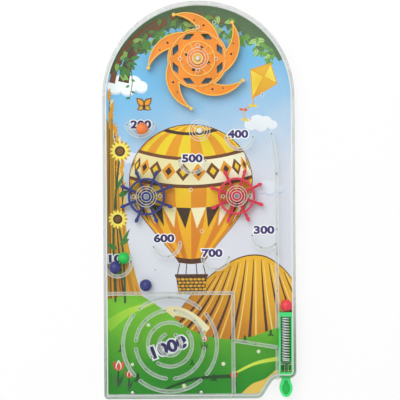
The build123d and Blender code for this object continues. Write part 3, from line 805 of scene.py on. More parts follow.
def paintNumber(body, centre, size, turn=0.0):
    spots = [spot for face in textFaces(body, 0.0) for spot in face]
    low = Vector((min(s.x for s in spots), min(s.y for s in spots)))
    high = Vector((max(s.x for s in spots), max(s.y for s in spots)))
    middle = (low + high) / 2
    for bold, inkName in ((numberForm["line"], "numberLine"), (numberForm["body"], "number")):
        for face in textFaces(body, bold):
            loop = []
            for spot in face:
                x = (spot.x - middle.x) * size[0] / (high.x - low.x)
                y = (spot.y - middle.y) * size[1] / (high.y - low.y)
                loop.append(spun(centre, x, y, radians(turn)))
            paint(inkName, loop)


# Each plant's x, y and size
tufts = ((-58, -112, 7), (-46, -134, 8), (10, -134, 7), (33, -106, 7), (-6, -122, 5), (52, -101, 6))
tulips = ((-61, -138, 15), (-53, -140, 11), (24, -140, 10), (3, -112, 9))
daisies = (
    (-38, -92, 1.6),
    (-12, -137, 1.9),
    (17, -121, 1.8),
    (43, -112, 1.7),
    (-50, -121, 1.6),
    (2, -96, 1.5),
)
paint("sky", caseOutline(cardEdge["inset"]))
for place in ((-52, 84, 1.0), (46, 55, 0.82), (-48, 30, 0.6), (52, 8, 0.7)):
    paintCloud(*place)
paintGarland()
paintKite(47, 88, -28)
paintButterfly(-40, 69, 8.5)
paintReeds()
paintField()
paintBalloon()
paintSunflower(-58, 36, 8.0, [(-62, -75), (-63, -20), (-58, 36)])
paintSunflower(-60, -14, 7.4, [(-55, -76), (-56, -40), (-60, -14)])
for paintPlant, plants in ((paintTuft, tufts), (paintTulip, tulips), (paintDaisy, daisies)):
    for plant in plants:
        paintPlant(*plant)
# Under the plunger: a strip of meadow, and a dark strip behind the spring that is painted shadow of
# the coil
paint("meadow", [(59.2, -126.0), (66.3, -126.0), (66.3, -84.5), (59.2, -84.5)])
paint("darkBrown", [(60.3, -118.9), (64.4, -118.9), (64.4, -85.1), (60.3, -85.1)])
for body, centre in numbers.items():
    paintNumber(body, centre, numberForm["size"])
paintNumber("1000", (-22.9, -108.2), (26.0, 8.6), 20)
print("card painted:", len(paintLoops), "shapes")

board = {"lift": 0.02, "under": 0.05, "holeRadius": 1.7}


def buildCard():
    # Faces of the print, then the board's edge and underside, which close the card
    loops = paintLoops + [circleLoop(hub, board["holeRadius"], 20) for hub in hubs]
    verts, faces = cutLoops(loops)
    # Faces outside the card's own outline, loop 0, and those in a hub's hole are left out
    shown = [(face, held[0]) for face, held in faces if 0 in held and held[0] < len(paintLoops)]
    places = [paintInks[top] for _, top in shown]
    used = sorted({index for face, _ in shown for index in face})
    number = {index: place for place, index in enumerate(used)}
    # The print covers the back plate's tongue, so it lies just over it
    height = case["cardTop"] + board["lift"]
    points = [(verts[index].x, verts[index].y, height) for index in used]
    kept = [[number[index] for index in face] for face, _ in shown]
    rim = dict(openSides(kept))
    lower = {}
    for index in rim:
        lower[index] = len(points)
        points.append((*points[index][:2], case["back"] + board["under"]))
    sides = [[b, a, lower[a], lower[b]] for a, b in rim.items()]
    outlines = []
    while rim:
        start, here = rim.popitem()
        outline = [start]
        while here != start:
            outline.append(here)
            here = rim.pop(here)
        outlines.append(outline)
    outlines.sort(key=len, reverse=True)
    order = [index for outline in outlines for index in outline]
    spot = {index: place for place, index in enumerate(order)}
    flat = [Vector(points[index][:2]) for index in order]
    rings = [[spot[index] for index in outline] for outline in outlines]
    _, _, found, sources, _, owners = delaunay_2d_cdt(flat, [], rings, 1, 1e-7, True)
    for face, owner in zip(found, owners):
        if list(owner) == [0]:
            sides.append([lower[order[sources[index][0]]] for index in face][::-1])
    return points, kept, sides, places


cardPoints, cardFaces, cardSides, cardPlaces = buildCard()
boardFinish = Finish("card board")
boardGrain = boardFinish.noise(0.3, 5.0)
boardColour = boardFinish.mix(ink("#D9D4C8"), ink("#F1EDE4"), boardGrain)
boardNormal = boardFinish.bump(boardGrain, 0.03, 0.5)
boardMaterial = boardFinish.show(boardFinish.plastic(boardColour, 0.75, boardNormal))
cardMaterials = [*inkFinishes, boardMaterial]
cardPlaces += [len(inkNames)] * len(cardSides)
card = meshPiece("printed_card", cardPoints, cardFaces + cardSides, cardMaterials, cardPlaces)
handOver(card, "printed_card", "case", "playfield_card")
print("card built:", len(cardFaces), "faces")


# How the clear plastic looks: shares from 0 to 1, and the two places along the case, in
# metres, between which the painted reflection at the lower end fades
clearLook = {
    "tint": "#FCFEFD",
    "through": 0.35,
    "flowSize": 9.0,
    "milkSteady": 0.8,
    "milkFlow": 0.4,
    "roughness": 0.06,
    "gloss": 0.006,
    "edgeGloss": 0.9,
    "paintedReflectionFade": (-0.135, -0.05),
}


def clearFinish(name, milk, shade="#FFFFFF", paintedReflectionTint=None):
    # Clear plastic that doesn't bend the view: gloss that grows at the edges over a faintly
    # milky body
    look = clearLook
    finish = Finish(name)
    flow = finish.noise(look["flowSize"], 3.0, (1.0, 0.25, 1.0))
    clear = finish.node("ShaderNodeBsdfTransparent", inputs={"Color": ink(look["tint"])})
    litColour = ink(shade)
    if paintedReflectionTint:
        # Painted reflection: the lower end is tinted green as if it took up the meadow's colour
        # from the card's edge
        litColour = finish.mix(ink(paintedReflectionTint), litColour, finish.axis(1).fade(*look["paintedReflectionFade"]))
    through = finish.node("ShaderNodeBsdfTranslucent", inputs={"Color": ink(shade)})
    cloudy = finish.mixShader(finish.plastic(litColour, 0.3), through, look["through"])
    share = milk * look["milkSteady"] + milk * look["milkFlow"] * flow
    body = finish.mixShader(clear, cloudy, share)
    glossInputs = {"Color": ink("#FFFFFF"), "Roughness": look["roughness"]}
    gloss = finish.node("ShaderNodeBsdfGlossy", inputs=glossInputs)
    facing = finish.node("ShaderNodeLayerWeight", inputs={"Blend": 0.5}, output="Facing")
    factor = look["gloss"] + look["edgeGloss"] * facing**5
    return finish.show(finish.mixShader(body, gloss, factor))


# The cover's faces take these by their place in the list
coverMaterials = [
    clearFinish("clear plastic", 0.004),
    # The rim's shade band, rim band and wall get a green painted reflection at their lower end
    clearFinish("clear plastic rim shade", 0.42, "#F4F7F6", "#2C6A28"),
    clearFinish("clear plastic fence side", 0.11),
    clearFinish("clear plastic fence foot", 0.2),
    # Milky white for the bright lines of the fences, the rim and the stop: painted highlight
    clearFinish("clear plastic painted highlight", 0.7),
    clearFinish("clear plastic rim band", 0.32, paintedReflectionTint="#4B9A44"),
    clearFinish("clear plastic wall", 0.15, "#EEF2F2", "#3E8A3A"),
]
clearPlace, shadePlace, sidePlace, footPlace, highlightPlace, bandPlace, wallPlace = range(7)
fence = {
    "foot": 2.7,
    "sink": 0.3,
    "rootHalf": 1.75,
    "lineHalf": 0.9,
    "lineDrop": 0.4,
    "tipHalf": 0.8,
    "coreHalf": 0.95,
    "coreTop": 13.1,
    "coreLow": 12.85,
}
fenceRoot = case["roofUnder"] + fence["sink"]
fenceLine = case["roofUnder"] - fence["lineDrop"]


def slotLoop(centre, radius, start, end, half):
    # Outline of a curved fence with round ends
    steps = max(int(abs(end - start) / 5), 4)
    loop = []
    for side, first, last in ((half, start, end), (-half, end, start)):
        for step in range(steps + 1):
            loop.append(polar(centre, radius + side, first + (last - first) * step / steps))
        tip = polar(centre, radius, last)
        turn = last if side > 0 else last + 180
        loop += [polar(tip, half, turn + 180 * step / 6) for step in range(1, 6)]
    return loop


def bandLoop(start, end, half):
    # Outline of a straight fence
    way = (Vector(end) - Vector(start)).normalized()
    across = Vector((-way.y, way.x)) * half
    a, b = Vector(start), Vector(end)
    return [tuple(a - across), tuple(b - across), tuple(b + across), tuple(a + across)]


# Each cup's centre and the angles between which its fence runs
cups = {
    "cup_100": (-59.7, -45.8, -150.0, 7.0),
    "cup_200": (-42.6, 56.2, -174.0, -4.0),
    "cup_300": (48.2, -26.1, -178.0, -43.0),
    "cup_400": (29.7, 46.4, -172.0, -6.0),
    "cup_500": (-4.7, 29.5, -172.0, -8.0),
    "cup_600": (-23.9, -31.7, -165.0, 2.0),
    "cup_700": (11.8, -41.1, -170.0, -7.0),
}
cupRadius = 9.8
# Each maze ring's radius and the angles of its arcs
mazeRings = (
    (34.3, ((50.6, 130.3), (140.7, 220.2), (230.3, 310.0), (321.0, 399.8))),
    (25.0, ((98.0, 172.8), (187.4, 262.6), (278.0, 352.6), (7.0, 82.0))),
    (16.1, ((58.0, 213.0), (237.0, 393.0))),
    (8.0, ((117.6, 420.5),)),
)
walls = {
    "boxTop": ((-69.0, -68.2), (25.1, -68.2)),
    "boxSide": ((24.2, -144.0), (24.2, -67.4)),
    "laneUpper": ((56.4, -94.6), (56.4, 18.7)),
    "laneLower": ((56.4, -131.5), (56.4, -108.9)),
    "ramp": ((24.4, -102.9), (57.0, -108.2)),
}
laneGuide = ((56.4 - 122.7, 18.7), 122.7, -0.3, 14.1)
arcs = [((x, y), cupRadius, start, end) for x, y, start, end in cups.values()]
arcs += [(mazeCentre, radius, *ends) for radius, parts in mazeRings for ends in parts]
fenceLines = [(slotLoop, arc) for arc in arcs]
fenceLines += [(bandLoop, ends) for ends in walls.values()]
fenceLines.append((slotLoop, laneGuide))

# The bands that the rim shows from above end at these insets, followed by the wall's inner
# fillet and the steps of its round edge
rimBands = {
    "lightBand": 0.75,
    "shadeLine": 1.4,
    "whiteLine": 2.1,
    "clear": 2.8,
    "filletInset": 1.95,
    "filletTop": 0.7,
    "filletLow": 1.0,
    "roundSteps": 5,
}


def buildCover():
    # Wall and roof: rings of the case's outline, from the wall's foot over the top and back
    drop, top, under = case["topRadius"], case["roofTop"], case["roofUnder"]
    shell = [(0.0, case["back"], wallPlace), (0.0, top - drop, shadePlace)]
    for step in range(1, rimBands["roundSteps"]):
        angle = radians(90 * step / rimBands["roundSteps"])
        shell.append((drop * (1 - cos(angle)), top - drop + drop * sin(angle), shadePlace))
    shell += [
        (rimBands["lightBand"], top, bandPlace),
        (rimBands["shadeLine"], top, shadePlace),
        # The rim's white line and the wall's fillet under the roof are milky white: painted
        # highlight
        (rimBands["whiteLine"], top, highlightPlace),
        (rimBands["clear"], top, None),
        (rimBands["clear"], under, highlightPlace),
        (rimBands["filletInset"], under - rimBands["filletTop"], wallPlace),
        (case["wall"], under - rimBands["filletLow"], wallPlace),
        (case["wall"], case["back"], wallPlace),
    ]
    solid = Solid()
    rings = []
    for inset, z, slot in shell:
        loop = caseOutline(inset)
        rings.append(range(len(solid.points), len(solid.points) + len(loop)))
        solid.points += [(x, y, z) for x, y in loop]
    count = len(rings[0])
    for (inset, z, slot), ringA, ringB in zip(shell, rings, rings[1:] + rings[:1]):
        if slot is None:
            solid.faces += [tuple(ringA), tuple(ringB)[::-1]]
            solid.places += [clearPlace, clearPlace]
            continue
        for step in range(count):
            after = (step + 1) % count
            solid.faces.append((ringA[step], ringA[after], ringB[after], ringB[step]))
            solid.places.append(slot)
    return solid.build("clear_cover", coverMaterials)


def paintedLightCores():
    # A thin milky closed layer inside the roof over each fence: painted light that brightens the
    # fence body
    solid = Solid()
    for maker, arguments in fenceLines:
        outline = maker(*arguments, fence["coreHalf"])
        loops = ((outline, fence["coreTop"]), (outline, fence["coreLow"]))
        solid.loft(loops, (clearPlace,), clearPlace)
    return solid.build("fence_painted_light", [clearFinish("clear plastic painted light core", 0.14)])


def buildFences():
    # Each fence flares where it meets the roof, and that flare is milky white: painted highlight
    # for the bright line that clear plastic shows there
    solid = Solid()
    slots = (highlightPlace, sidePlace)
    for maker, arguments in fenceLines:
        sections = (("rootHalf", fenceRoot), ("lineHalf", fenceLine), ("tipHalf", fence["foot"]))
        loops = [(maker(*arguments, fence[half]), z) for half, z in sections]
        solid.loft(loops, slots, footPlace)
    sections = ((2.6, fenceRoot), (2.2, fenceLine), (1.9, fence["foot"]))
    post = [(circleLoop(bumperCentre, radius, 32), z) for radius, z in sections]
    solid.loft(post, slots, footPlace)
    return solid.build("fences", coverMaterials)


# The plunger stop's bars: ends, half width and lowest height
stop = {
    "cross": ((57.2, -119.7), (68.4, -119.7), 0.7, 9.8),
    "crossMiddle": ((59.55, -119.7), (65.95, -119.7), 0.7, 3.2),
    "stem": ((laneX, -126.4), (laneX, -119.2), 1.2, 3.2),
}
stopFlare = 0.45


def buildStop():
    solid = Solid()
    for start, end, half, low in stop.values():
        # The bars' flares take the same milky white: painted highlight
        sections = ((half + stopFlare, fenceRoot), (half, fenceLine), (half, low))
        loops = [(bandLoop(start, end, wide), z) for wide, z in sections]
        solid.loft(loops, (highlightPlace, sidePlace), footPlace)
    return solid.build("stop", coverMaterials)


def buildDrums(name, form, steps):
    # A round solid at each hub, with its upper and lower radius
    solid = Solid()
    for hub in hubs:
        loops = zip(circleLoops(hub, form["radii"], steps), (form["high"], form["low"]))
        solid.loft(list(loops), (clearPlace,), clearPlace)
    return solid.build(name, coverMaterials)


def buildExit():
    # The box that cuts the lower wall open for the plunger
    (left, right), (front, back) = exitWay["x"], exitWay["y"]
    outline = ((left, front), (right, front), (right, back), (left, back))
    points = [(*corner, z) for z in exitWay["z"] for corner in outline]
    faces = ((3, 2, 1, 0), (4, 5, 6, 7), (0, 1, 5, 4), (1, 2, 6, 5), (2, 3, 7, 6), (3, 0, 4, 7))
    return meshPiece("exit", points, faces, coverMaterials, [shadePlace] * len(faces))


def combine(piece, tool, operation):
    change = piece.modifiers.new("combine", "BOOLEAN")
    change.operation = operation
    change.solver = "EXACT"
    change.use_self = True
    change.object = tool
    plainMesh(piece)
    bpy.data.objects.remove(tool)


# The plunger's way out, and the bosses and bores that hold the axles
exitWay = {"x": (57.3, 68.2), "y": (-140.0, -124.0), "z": (1.0, 9.7)}
boss = {"radii": (3.1, 3.0), "high": 12.7, "low": 11.4}
bore = {"radii": (1.55, 1.55), "high": 12.6, "low": 11.0}
cover = buildCover()
for tool, operation in (
    (buildFences(), "UNION"),
    (buildStop(), "UNION"),
    (buildExit(), "DIFFERENCE"),
    (buildDrums("bosses", boss, 32), "UNION"),
    (buildDrums("bores", bore, 24), "DIFFERENCE"),
):
    combine(cover, tool, operation)
soften(cover.data, 32)
fenceNodes = [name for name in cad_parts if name.startswith(("cup_", "maze_", "lane_"))]
coverNodes = ["front_cover", "bumper_post", "plunger_stop", "return_ramp", *fenceNodes]
handOver(cover, "clear_plastic", "case", *coverNodes)
handOver(paintedLightCores(), "clear_plastic", "case")
print("cover built:", len(cover.data.polygons), "faces")


# Marks in the cover are grown by Geometry Nodes
def markTree(name, material, sizeName, circleSteps, wireSteps):
    # A mark on every point, as wide as the point's "reach" attribute: a ring of round wire,
    # or without wire steps a shallow round dimple
    tree = bpy.data.node_groups.new(name, "GeometryNodeTree")
    for title, way, kind in (
        ("Points", "INPUT", "NodeSocketGeometry"),
        (sizeName, "INPUT", "NodeSocketFloat"),
        ("Geometry", "OUTPUT", "NodeSocketGeometry"),
    ):
        tree.interface.new_socket(title, in_out=way, socket_type=kind)
    group = addNode(tree, "NodeGroupInput")
    size = group[sizeName]
    if wireSteps:
        inputs = {"Resolution": circleSteps, "Radius": 1.0}
        mark = addNode(tree, "GeometryNodeCurvePrimitiveCircle", inputs=inputs)[0]
    else:
        inputs = {"Vertices": circleSteps, "Radius": 1.0, "Depth": size}
        mark = addNode(tree, "GeometryNodeMeshCylinder", inputs=inputs)[0]
    settings = {"data_type": "FLOAT"}
    reach = addNode(tree, "GeometryNodeInputNamedAttribute", settings, {"Name": "reach"})[0]
    scale = addNode(tree, "ShaderNodeCombineXYZ", inputs={0: reach, 1: reach, 2: 1.0})[0]
    inputs = {"Points": group["Points"], "Instance": mark, "Scale": scale}
    placed = addNode(tree, "GeometryNodeInstanceOnPoints", inputs=inputs)[0]
    grown = addNode(tree, "GeometryNodeRealizeInstances", inputs={0: placed})[0]
    if wireSteps:
        inputs = {"Resolution": wireSteps, "Radius": size}
        wire = addNode(tree, "GeometryNodeCurvePrimitiveCircle", inputs=inputs)[0]
        inputs = {"Curve": grown, "Profile Curve": wire}
        grown = addNode(tree, "GeometryNodeCurveToMesh", inputs=inputs)[0]
    inputs = {"Geometry": grown, "Material": material}
    tinted = addNode(tree, "GeometryNodeSetMaterial", inputs=inputs)[0]
    addNode(tree, "NodeGroupOutput", inputs={0: tinted})
    return tree


def growMarks(name, spots, material, sizeName, size, circleSteps=14, wireSteps=0):
    # Spots of x, y, z and reach, grown by the tree into a plain mesh
    piece = meshPiece(name, [spot[:3] for spot in spots], [], [])
    reach = piece.data.attributes.new("reach", "FLOAT", "POINT")
    reach.data.foreach_set("value", [spot[3] * millimetre for spot in spots])
    grower = piece.modifiers.new("grow", "NODES")
    grower.node_group = markTree(name + "_tree", material, sizeName, circleSteps, wireSteps)
    for item in grower.node_group.interface.items_tree:
        if item.in_out == "INPUT" and item.name == sizeName:
            grower[item.identifier] = size * millimetre
    plainMesh(piece)
    setMaterials(piece.data, material)
    piece.data.polygons.foreach_set("material_index", [0] * len(piece.data.polygons))
    if wireSteps:
        soften(piece.data, 60)
    handOver(piece, "clear_plastic", "case")


# Rings over the hubs and the bumper post: their radii, and the wire's radius
coverRings = {
    "pinwheel": (3.7, 5.7, 7.7),
    "wheel": (3.8, 5.7, 7.5),
    "bumper": (3.8, 5.7, 7.6),
    "wire": 0.25,
}
ringSpots = []
for centre, kind in zip((*hubs, bumperCentre), ("pinwheel", "wheel", "wheel", "bumper")):
    for radius in coverRings[kind]:
        ringSpots.append((*centre, case["roofTop"] - coverRings["wire"], radius))
# The rings' milky white is painted highlight along their edges
ringFinish = clearFinish("clear plastic ring", 0.62)
growMarks("cover_rings", ringSpots, ringFinish, "Wire radius", coverRings["wire"], 64, 8)

# Ejector marks with a small dark dot of painted shade in each, and more such dots along the fences
marks = (
    (-0.3, 112.7), (-13.2, 102.8), (13.1, 102.6), (-0.1, 94.1), (-0.2, 125.9), (11.9, 129.1),
    (-47.8, 2.5), (-28.5, 2.8), (17.3, 2.2), (37.3, 2.6), (-6.0, 7.2), (1.8, -23.0),
    (-32.4, -50.9), (37.6, 58.5), (46.7, 76.3),
)
wallDots = (
    (-54, -68.2), (-5, -68.2), (24.2, -84), (24.2, -102.9), (24.2, -121), (24.2, -141.5),
    (40, -105.5), (56.4, -109.5), (56.4, -94.2), (56.4, -67), (56.4, -40), (56.4, -22),
    (56.4, 18.7), (53.0, 47.6),
)
markForm = {
    "ring": 1.25,
    "hubRing": 1.8,
    "wire": 0.2,
    "lift": 0.05,
    "dot": 0.4,
    "dotLift": 0.15,
    "cupDot": 0.42,
    "fenceDot": 0.46,
    "fenceDotZ": 13.4,
    "dotDepth": 0.3,
    "highlightDepth": 0.5,
    "highlightZ": 13.1,
}
markHeight = case["roofUnder"] + markForm["lift"]
markSpots = [(x, y, markHeight, markForm["ring"]) for x, y in marks]
markSpots += [(*hub, markHeight, markForm["hubRing"]) for hub in hubs[1:]]
# The marks' milky white rings are painted highlight
markFinish = clearFinish("clear plastic mark", 0.8)
growMarks("ejector_marks", markSpots, markFinish, "Wire radius", markForm["wire"], 28, 8)
dotSpots = [(x, y, case["roofUnder"] + markForm["dotLift"], markForm["dot"]) for x, y in marks]
for place, (centre, radius, start, end) in enumerate(arcs):
    reach = markForm["cupDot" if place < len(cups) else "fenceDot"]
    for angle in (start, (start + end) / 2, end):
        dotSpots.append((*polar(centre, radius, angle), markForm["fenceDotZ"], reach))
dotSpots += [(x, y, markForm["fenceDotZ"], markForm["fenceDot"]) for x, y in wallDots]
# The dots' dark grey is painted shade
dotShade = grainFinish("mark shade", "#3D4346", "#5C6466", 0.4, 2.0, 0.3)
growMarks("pin_dots", dotSpots, dotShade, "Depth", markForm["dotDepth"])
# White discs at the pinwheel's hub and the bumper post: painted highlight of the raised gate
hubHighlightSpots = [(*hubs[0], markForm["highlightZ"], 1.5), (*bumperCentre, markForm["highlightZ"], 1.9)]
growMarks("hub_highlights", hubHighlightSpots, coverMaterials[highlightPlace], "Depth", markForm["highlightDepth"])
print("cover marks built")

mouldedLook = {"streakSize": 7.0, "speckSize": 0.5, "deepShade": 0.86, "roughness": 0.3}


def mouldedFinish(name, colour, highlightColour=None, highlightLow=None, highlightHigh=None, roughness=None):
    # Glossy injection-moulded plastic: faint flow streaks, fine speckle, and a lighter colour on
    # the raised edges' tops, faded in between two heights: a painted highlight
    finish = Finish(name)
    roughness = roughness or mouldedLook["roughness"]
    streak = finish.noise(mouldedLook["streakSize"], 3.0, (1.0, 0.4, 1.0))
    speck = finish.noise(mouldedLook["speckSize"], 3.0)
    deep = tuple(channel * mouldedLook["deepShade"] for channel in ink(colour)[:3]) + (1.0,)
    shade = finish.mix(deep, ink(colour), streak.fade(0.3, 0.6))
    # Painted highlight: the raised tops turn lighter
    if highlightColour:
        height = finish.axis(2).fade(highlightLow * millimetre, highlightHigh * millimetre)
        shade = finish.mix(shade, ink(highlightColour), height)
    normal = finish.bump(speck, 0.015, 0.25)
    return finish.show(finish.plastic(shade, roughness + streak * 0.1, normal))


# These nodes keep their solids and get better materials
nylon = mouldedFinish("grey nylon", "#80848C")
for node, material in (
    ("plunger", mouldedFinish("green plastic", "#15B84A", "#42E07C", 7.8, 8.7)),
    ("pinwheel_axle", nylon),
    ("blue_wheel_axle", nylon),
    ("red_wheel_axle", nylon),
    ("back_plate", mouldedFinish("back plate plastic", "#E3E6E4", roughness=0.4)),
):
    setMaterials(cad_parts[node].data, material)


# Spinners: flat regions between smooth outlines, stacked and softened at their edges
pinwheelForm = {
    "low": 5.0,
    "high": 9.9,
    "plate": (8.0, 9.2),
    "disc": 22.1,
    "edge": 0.9,
    "tipAngle": 118.1,
    "reach": 36.7,
    "knob": 1.35,
    "back": ((21.2, -77.0), (30.9, -35.6), (36.7, -0.8)),
    "front": ((21.2, -30.6), (27.7, -17.9), (36.7, 0.8)),
    "ridge": 12.6,
    "spokeTurn": 24,
    "spokeStart": 3.8,
    "spokeHalf": 0.25,
    "hub": 4.2,
    "window": ((2.2, 18.2), (7.8, 18.2), (11.0, 14.2), (5.8, 14.0)),
    "windowRadius": 0.25,
    "holes": ((8.5, 69.0, 90, 1.2), (24.8, 79.6, 72, 0.8), (28.4, 94.6, 72, 0.55)),
}
wheelForm = {
    "low": 5.4,
    "high": 8.8,
    "rim": (13.7, 12.1),
    "spoke": (2.6, 17.5),
    "spokeHalf": 0.95,
    "spokeHeights": (5.8, 8.4),
    "hub": 3.9,
    "handle": ((17.0, 0.8), (17.7, 1.2), (18.5, 1.45), (19.4, 1.2), (20.2, 0.75), (20.8, 0.3)),
}
hubForm = {"low": 3.3, "high": 11.2, "bore": 1.58, "soft": 0.12, "steps": 48, "boreSteps": 32}


def arcThrough(a, b, c, steps):
    a, b, c = Vector(a), Vector(b), Vector(c)
    wayA, wayB = ((a - b).y, (b - a).x), ((b - c).y, (c - b).x)
    middle = Vector(meet((a + b) / 2, wayA, (b + c) / 2, wayB))
    first = a - middle
    whole = first.angle_signed(b - middle) + (b - middle).angle_signed(c - middle)
    turns = [-whole * step / steps for step in range(steps + 1)]
    return [middle + Matrix.Rotation(turn, 2) @ first for turn in turns], middle


def bladeLoop(centre, tipAngle, inset):
    # Crescent outline, a given distance inside its edge, which ends where the sides meet
    sides = []
    for name, way in (("back", 1), ("front", -1)):
        corners = [polar(centre, radius, tipAngle + angle) for radius, angle in pinwheelForm[name]]
        points, middle = arcThrough(*corners, 22)
        sides.append([(spot, spot + (middle - spot).normalized() * inset * way) for spot in points])
    least = 0.3 if inset else 0
    kept = [
        (back[1], front[1])
        for back, front in zip(*sides)
        if (back[1] - front[1]).dot((back[0] - front[0]).normalized()) > least
    ]
    return [tuple(back) for back, _ in kept] + [tuple(front) for _, front in kept[::-1]]


def addRegion(solid, adds, cuts, low, high):
    # Ground that an outline adds and none cuts away, raised from low to high
    verts, faces = cutLoops(adds + cuts)
    kept = [face for face, held in faces if held and held[0] < len(adds)]
    rim = openSides(kept)
    ways = {}
    for a, b in rim:
        way = (verts[b] - verts[a]).normalized()
        for index in (a, b):
            ways.setdefault(index, []).append(Vector((-way.y, way.x)))
    soft = hubForm["soft"]
    shift = {}
    for index, inward in ways.items():
        whole = sum(inward, Vector((0, 0))).normalized()
        shift[index] = whole * soft / max(whole.dot(inward[0]), 0.5)
    inner = sorted({index for face in kept for index in face})
    rows = []
    for z, share in ((low, 1), (low + soft, 0), (high - soft, 0), (high, 1)):
        row = {}
        for index in inner if share else sorted(ways):
            spot = verts[index] + shift.get(index, Vector((0, 0))) * share
            row[index] = len(solid.points)
            solid.points.append((spot.x, spot.y, z))
        rows.append(row)
    for face in kept:
        solid.faces.append([rows[0][index] for index in face][::-1])
        solid.faces.append([rows[3][index] for index in face])
    for under, over in zip(rows, rows[1:]):
        solid.faces += [(under[a], under[b], over[b], over[a]) for a, b in rim]


def addHub(solid, hub, radius):
    outer = circleLoop(hub, radius, hubForm["steps"])
    hole = circleLoop(hub, hubForm["bore"], hubForm["boreSteps"])
    addRegion(solid, [outer], [hole], hubForm["low"], hubForm["high"])


def finishSpinner(name, node, solid, material, slotName):
    handOver(solid.build(name, [material], 32), slotName, node + "_body", node)


def windowLoops(hub):
    # Four pairs of mirrored windows round the hub, with rounded corners
    loops = []
    for quarter in range(4):
        turn = Matrix.Rotation(pi / 2 * quarter, 2)
        for side in (-1, 1):
            places = [Vector((x * side, y)) for x, y in pinwheelForm["window"]]
            corners = [turn @ place + Vector(hub) for place in places]
            loop = []
            for step, corner in enumerate(corners):
                ends = (corners[step - 1], corner, corners[(step + 1) % 4])
                loop += roundedCorner(*ends, pinwheelForm["windowRadius"], 3)
            loops.append(loop if side < 0 else loop[::-1])
    return loops


def buildPinwheel():
    form, hub, edge = pinwheelForm, hubs[0], pinwheelForm["edge"]
    plateLow, plateHigh = form["plate"]
    tips = [form["tipAngle"] + 72 * turn for turn in range(5)]
    solid = Solid()
    # Disc and blades at three insets: the outline, the plate's edge and the floor's edge
    outer, inside, floors = (
        [circleLoop(hub, form["disc"] - inset, 96)] + [bladeLoop(hub, tip, inset) for tip in tips]
        for inset in (0, edge / 2, edge)
    )
    outer += [circleLoop(polar(hub, form["reach"], tip), form["knob"], 20) for tip in tips]
    addRegion(solid, outer, floors, form["low"], form["high"])
    holes = [circleLoop(hub, hubForm["bore"], hubForm["boreSteps"])] + windowLoops(hub)
    for circle, start, pitch, radius in form["holes"]:
        for turn in range(360 // pitch):
            holes.append(circleLoop(polar(hub, circle, start + pitch * turn), radius, 14))
    addRegion(solid, inside, holes, plateLow, plateHigh)
    outer, inner = circleLoops(hub, (form["ridge"] + edge / 2, form["ridge"] - edge / 2), 64)
    addRegion(solid, [outer], [inner], plateLow + 0.2, form["high"])
    for turn in range(4):
        angle = form["spokeTurn"] + 90 * turn
        ends = [polar(hub, radius, angle) for radius in (form["spokeStart"], form["ridge"])]
        outline = bandLoop(*ends, form["spokeHalf"])
        addRegion(solid, [outline], [], plateLow + 0.3, form["high"] - 0.1)
    addHub(solid, hub, form["hub"])
    orange = mouldedFinish("orange plastic", "#FA8F00", "#FFC350", 9.25, 9.75)
    finishSpinner("smooth_pinwheel", "pinwheel", solid, orange, "orange_plastic")


def buildWheel(node, hub, turn, material, slotName):
    form = wheelForm
    solid = Solid()
    outer, hole = form["rim"]
    rimLoops = [circleLoop(hub, outer, 72)]
    edge = smoothLine(form["handle"], 3)
    outline = [(reach, -width) for reach, width in edge]
    outline += [(reach, width) for reach, width in edge[::-1]]
    for step in range(8):
        angle = turn + 45 * step
        along = Vector(polar((0, 0), 1, angle))
        across = Vector((-along.y, along.x))
        handle = [Vector(hub) + along * reach + across * width for reach, width in outline]
        rimLoops.append([tuple(spot) for spot in handle])
        ends = [polar(hub, radius, angle) for radius in form["spoke"]]
        addRegion(solid, [bandLoop(*ends, form["spokeHalf"])], [], *form["spokeHeights"])
    addRegion(solid, rimLoops, [circleLoop(hub, hole, 72)], form["low"], form["high"])
    addHub(solid, hub, form["hub"])
    finishSpinner("smooth_" + node, node, solid, material, slotName)


buildPinwheel()
for node, hub, turn, colours in (
    ("blue_wheel", hubs[1], 22, ("#101C66", "#1E2A7C")),
    ("red_wheel", hubs[2], 26, ("#D10D36", "#E22C50")),
):
    colourName = node.split("_")[0]
    material = mouldedFinish(colourName + " plastic", *colours, 8.3, 8.9)
    buildWheel(node, hub, turn, material, colourName + "_plastic")
print("spinners made")


# Fine raised lines on the pinwheel: a ring at the blades' roots and short spokes inside it, lighter
# orange than the disc as painted highlight
pinwheelTrim = {
    "ring": 20.3,
    "ringHalf": 0.32,
    "spokes": (20, 52, 118, 152, 205, 262, 300, 336),
    "spokeEnds": (8.4, 12.4),
    "spokeHalf": 0.24,
    "low": 9.0,
    "high": 9.8,
    "bevel": (0.06, 0.1),
}


def buildTrim():
    solid = Solid()
    inset, drop = pinwheelTrim["bevel"]
    high, low = pinwheelTrim["high"], pinwheelTrim["low"]
    lines = []
    for start in (0, 90, 180, 270):
        arguments = (hubs[0], pinwheelTrim["ring"], start, start + 90.5)
        lines.append((slotLoop, arguments, pinwheelTrim["ringHalf"]))
    for angle in pinwheelTrim["spokes"]:
        ends = [polar(hubs[0], radius, angle) for radius in pinwheelTrim["spokeEnds"]]
        lines.append((bandLoop, ends, pinwheelTrim["spokeHalf"]))
    for maker, arguments, half in lines:
        upper, lower = maker(*arguments, half - inset), maker(*arguments, half)
        solid.loft(((upper, high), (lower, high - drop), (lower, low)), (0, 0), 0)
    orange = mouldedFinish("orange plastic lines", "#FFB94A", "#FFCE6C", 9.3, 9.8)
    handOver(solid.build("pinwheel_lines", [orange], 40), "orange_plastic", "pinwheel_body")


buildTrim()

# Balls with a fine parting line round the middle
ball = {"radius": 4.46, "steelRadius": 1.72, "seam": 0.04, "rows": 24, "columns": 40}


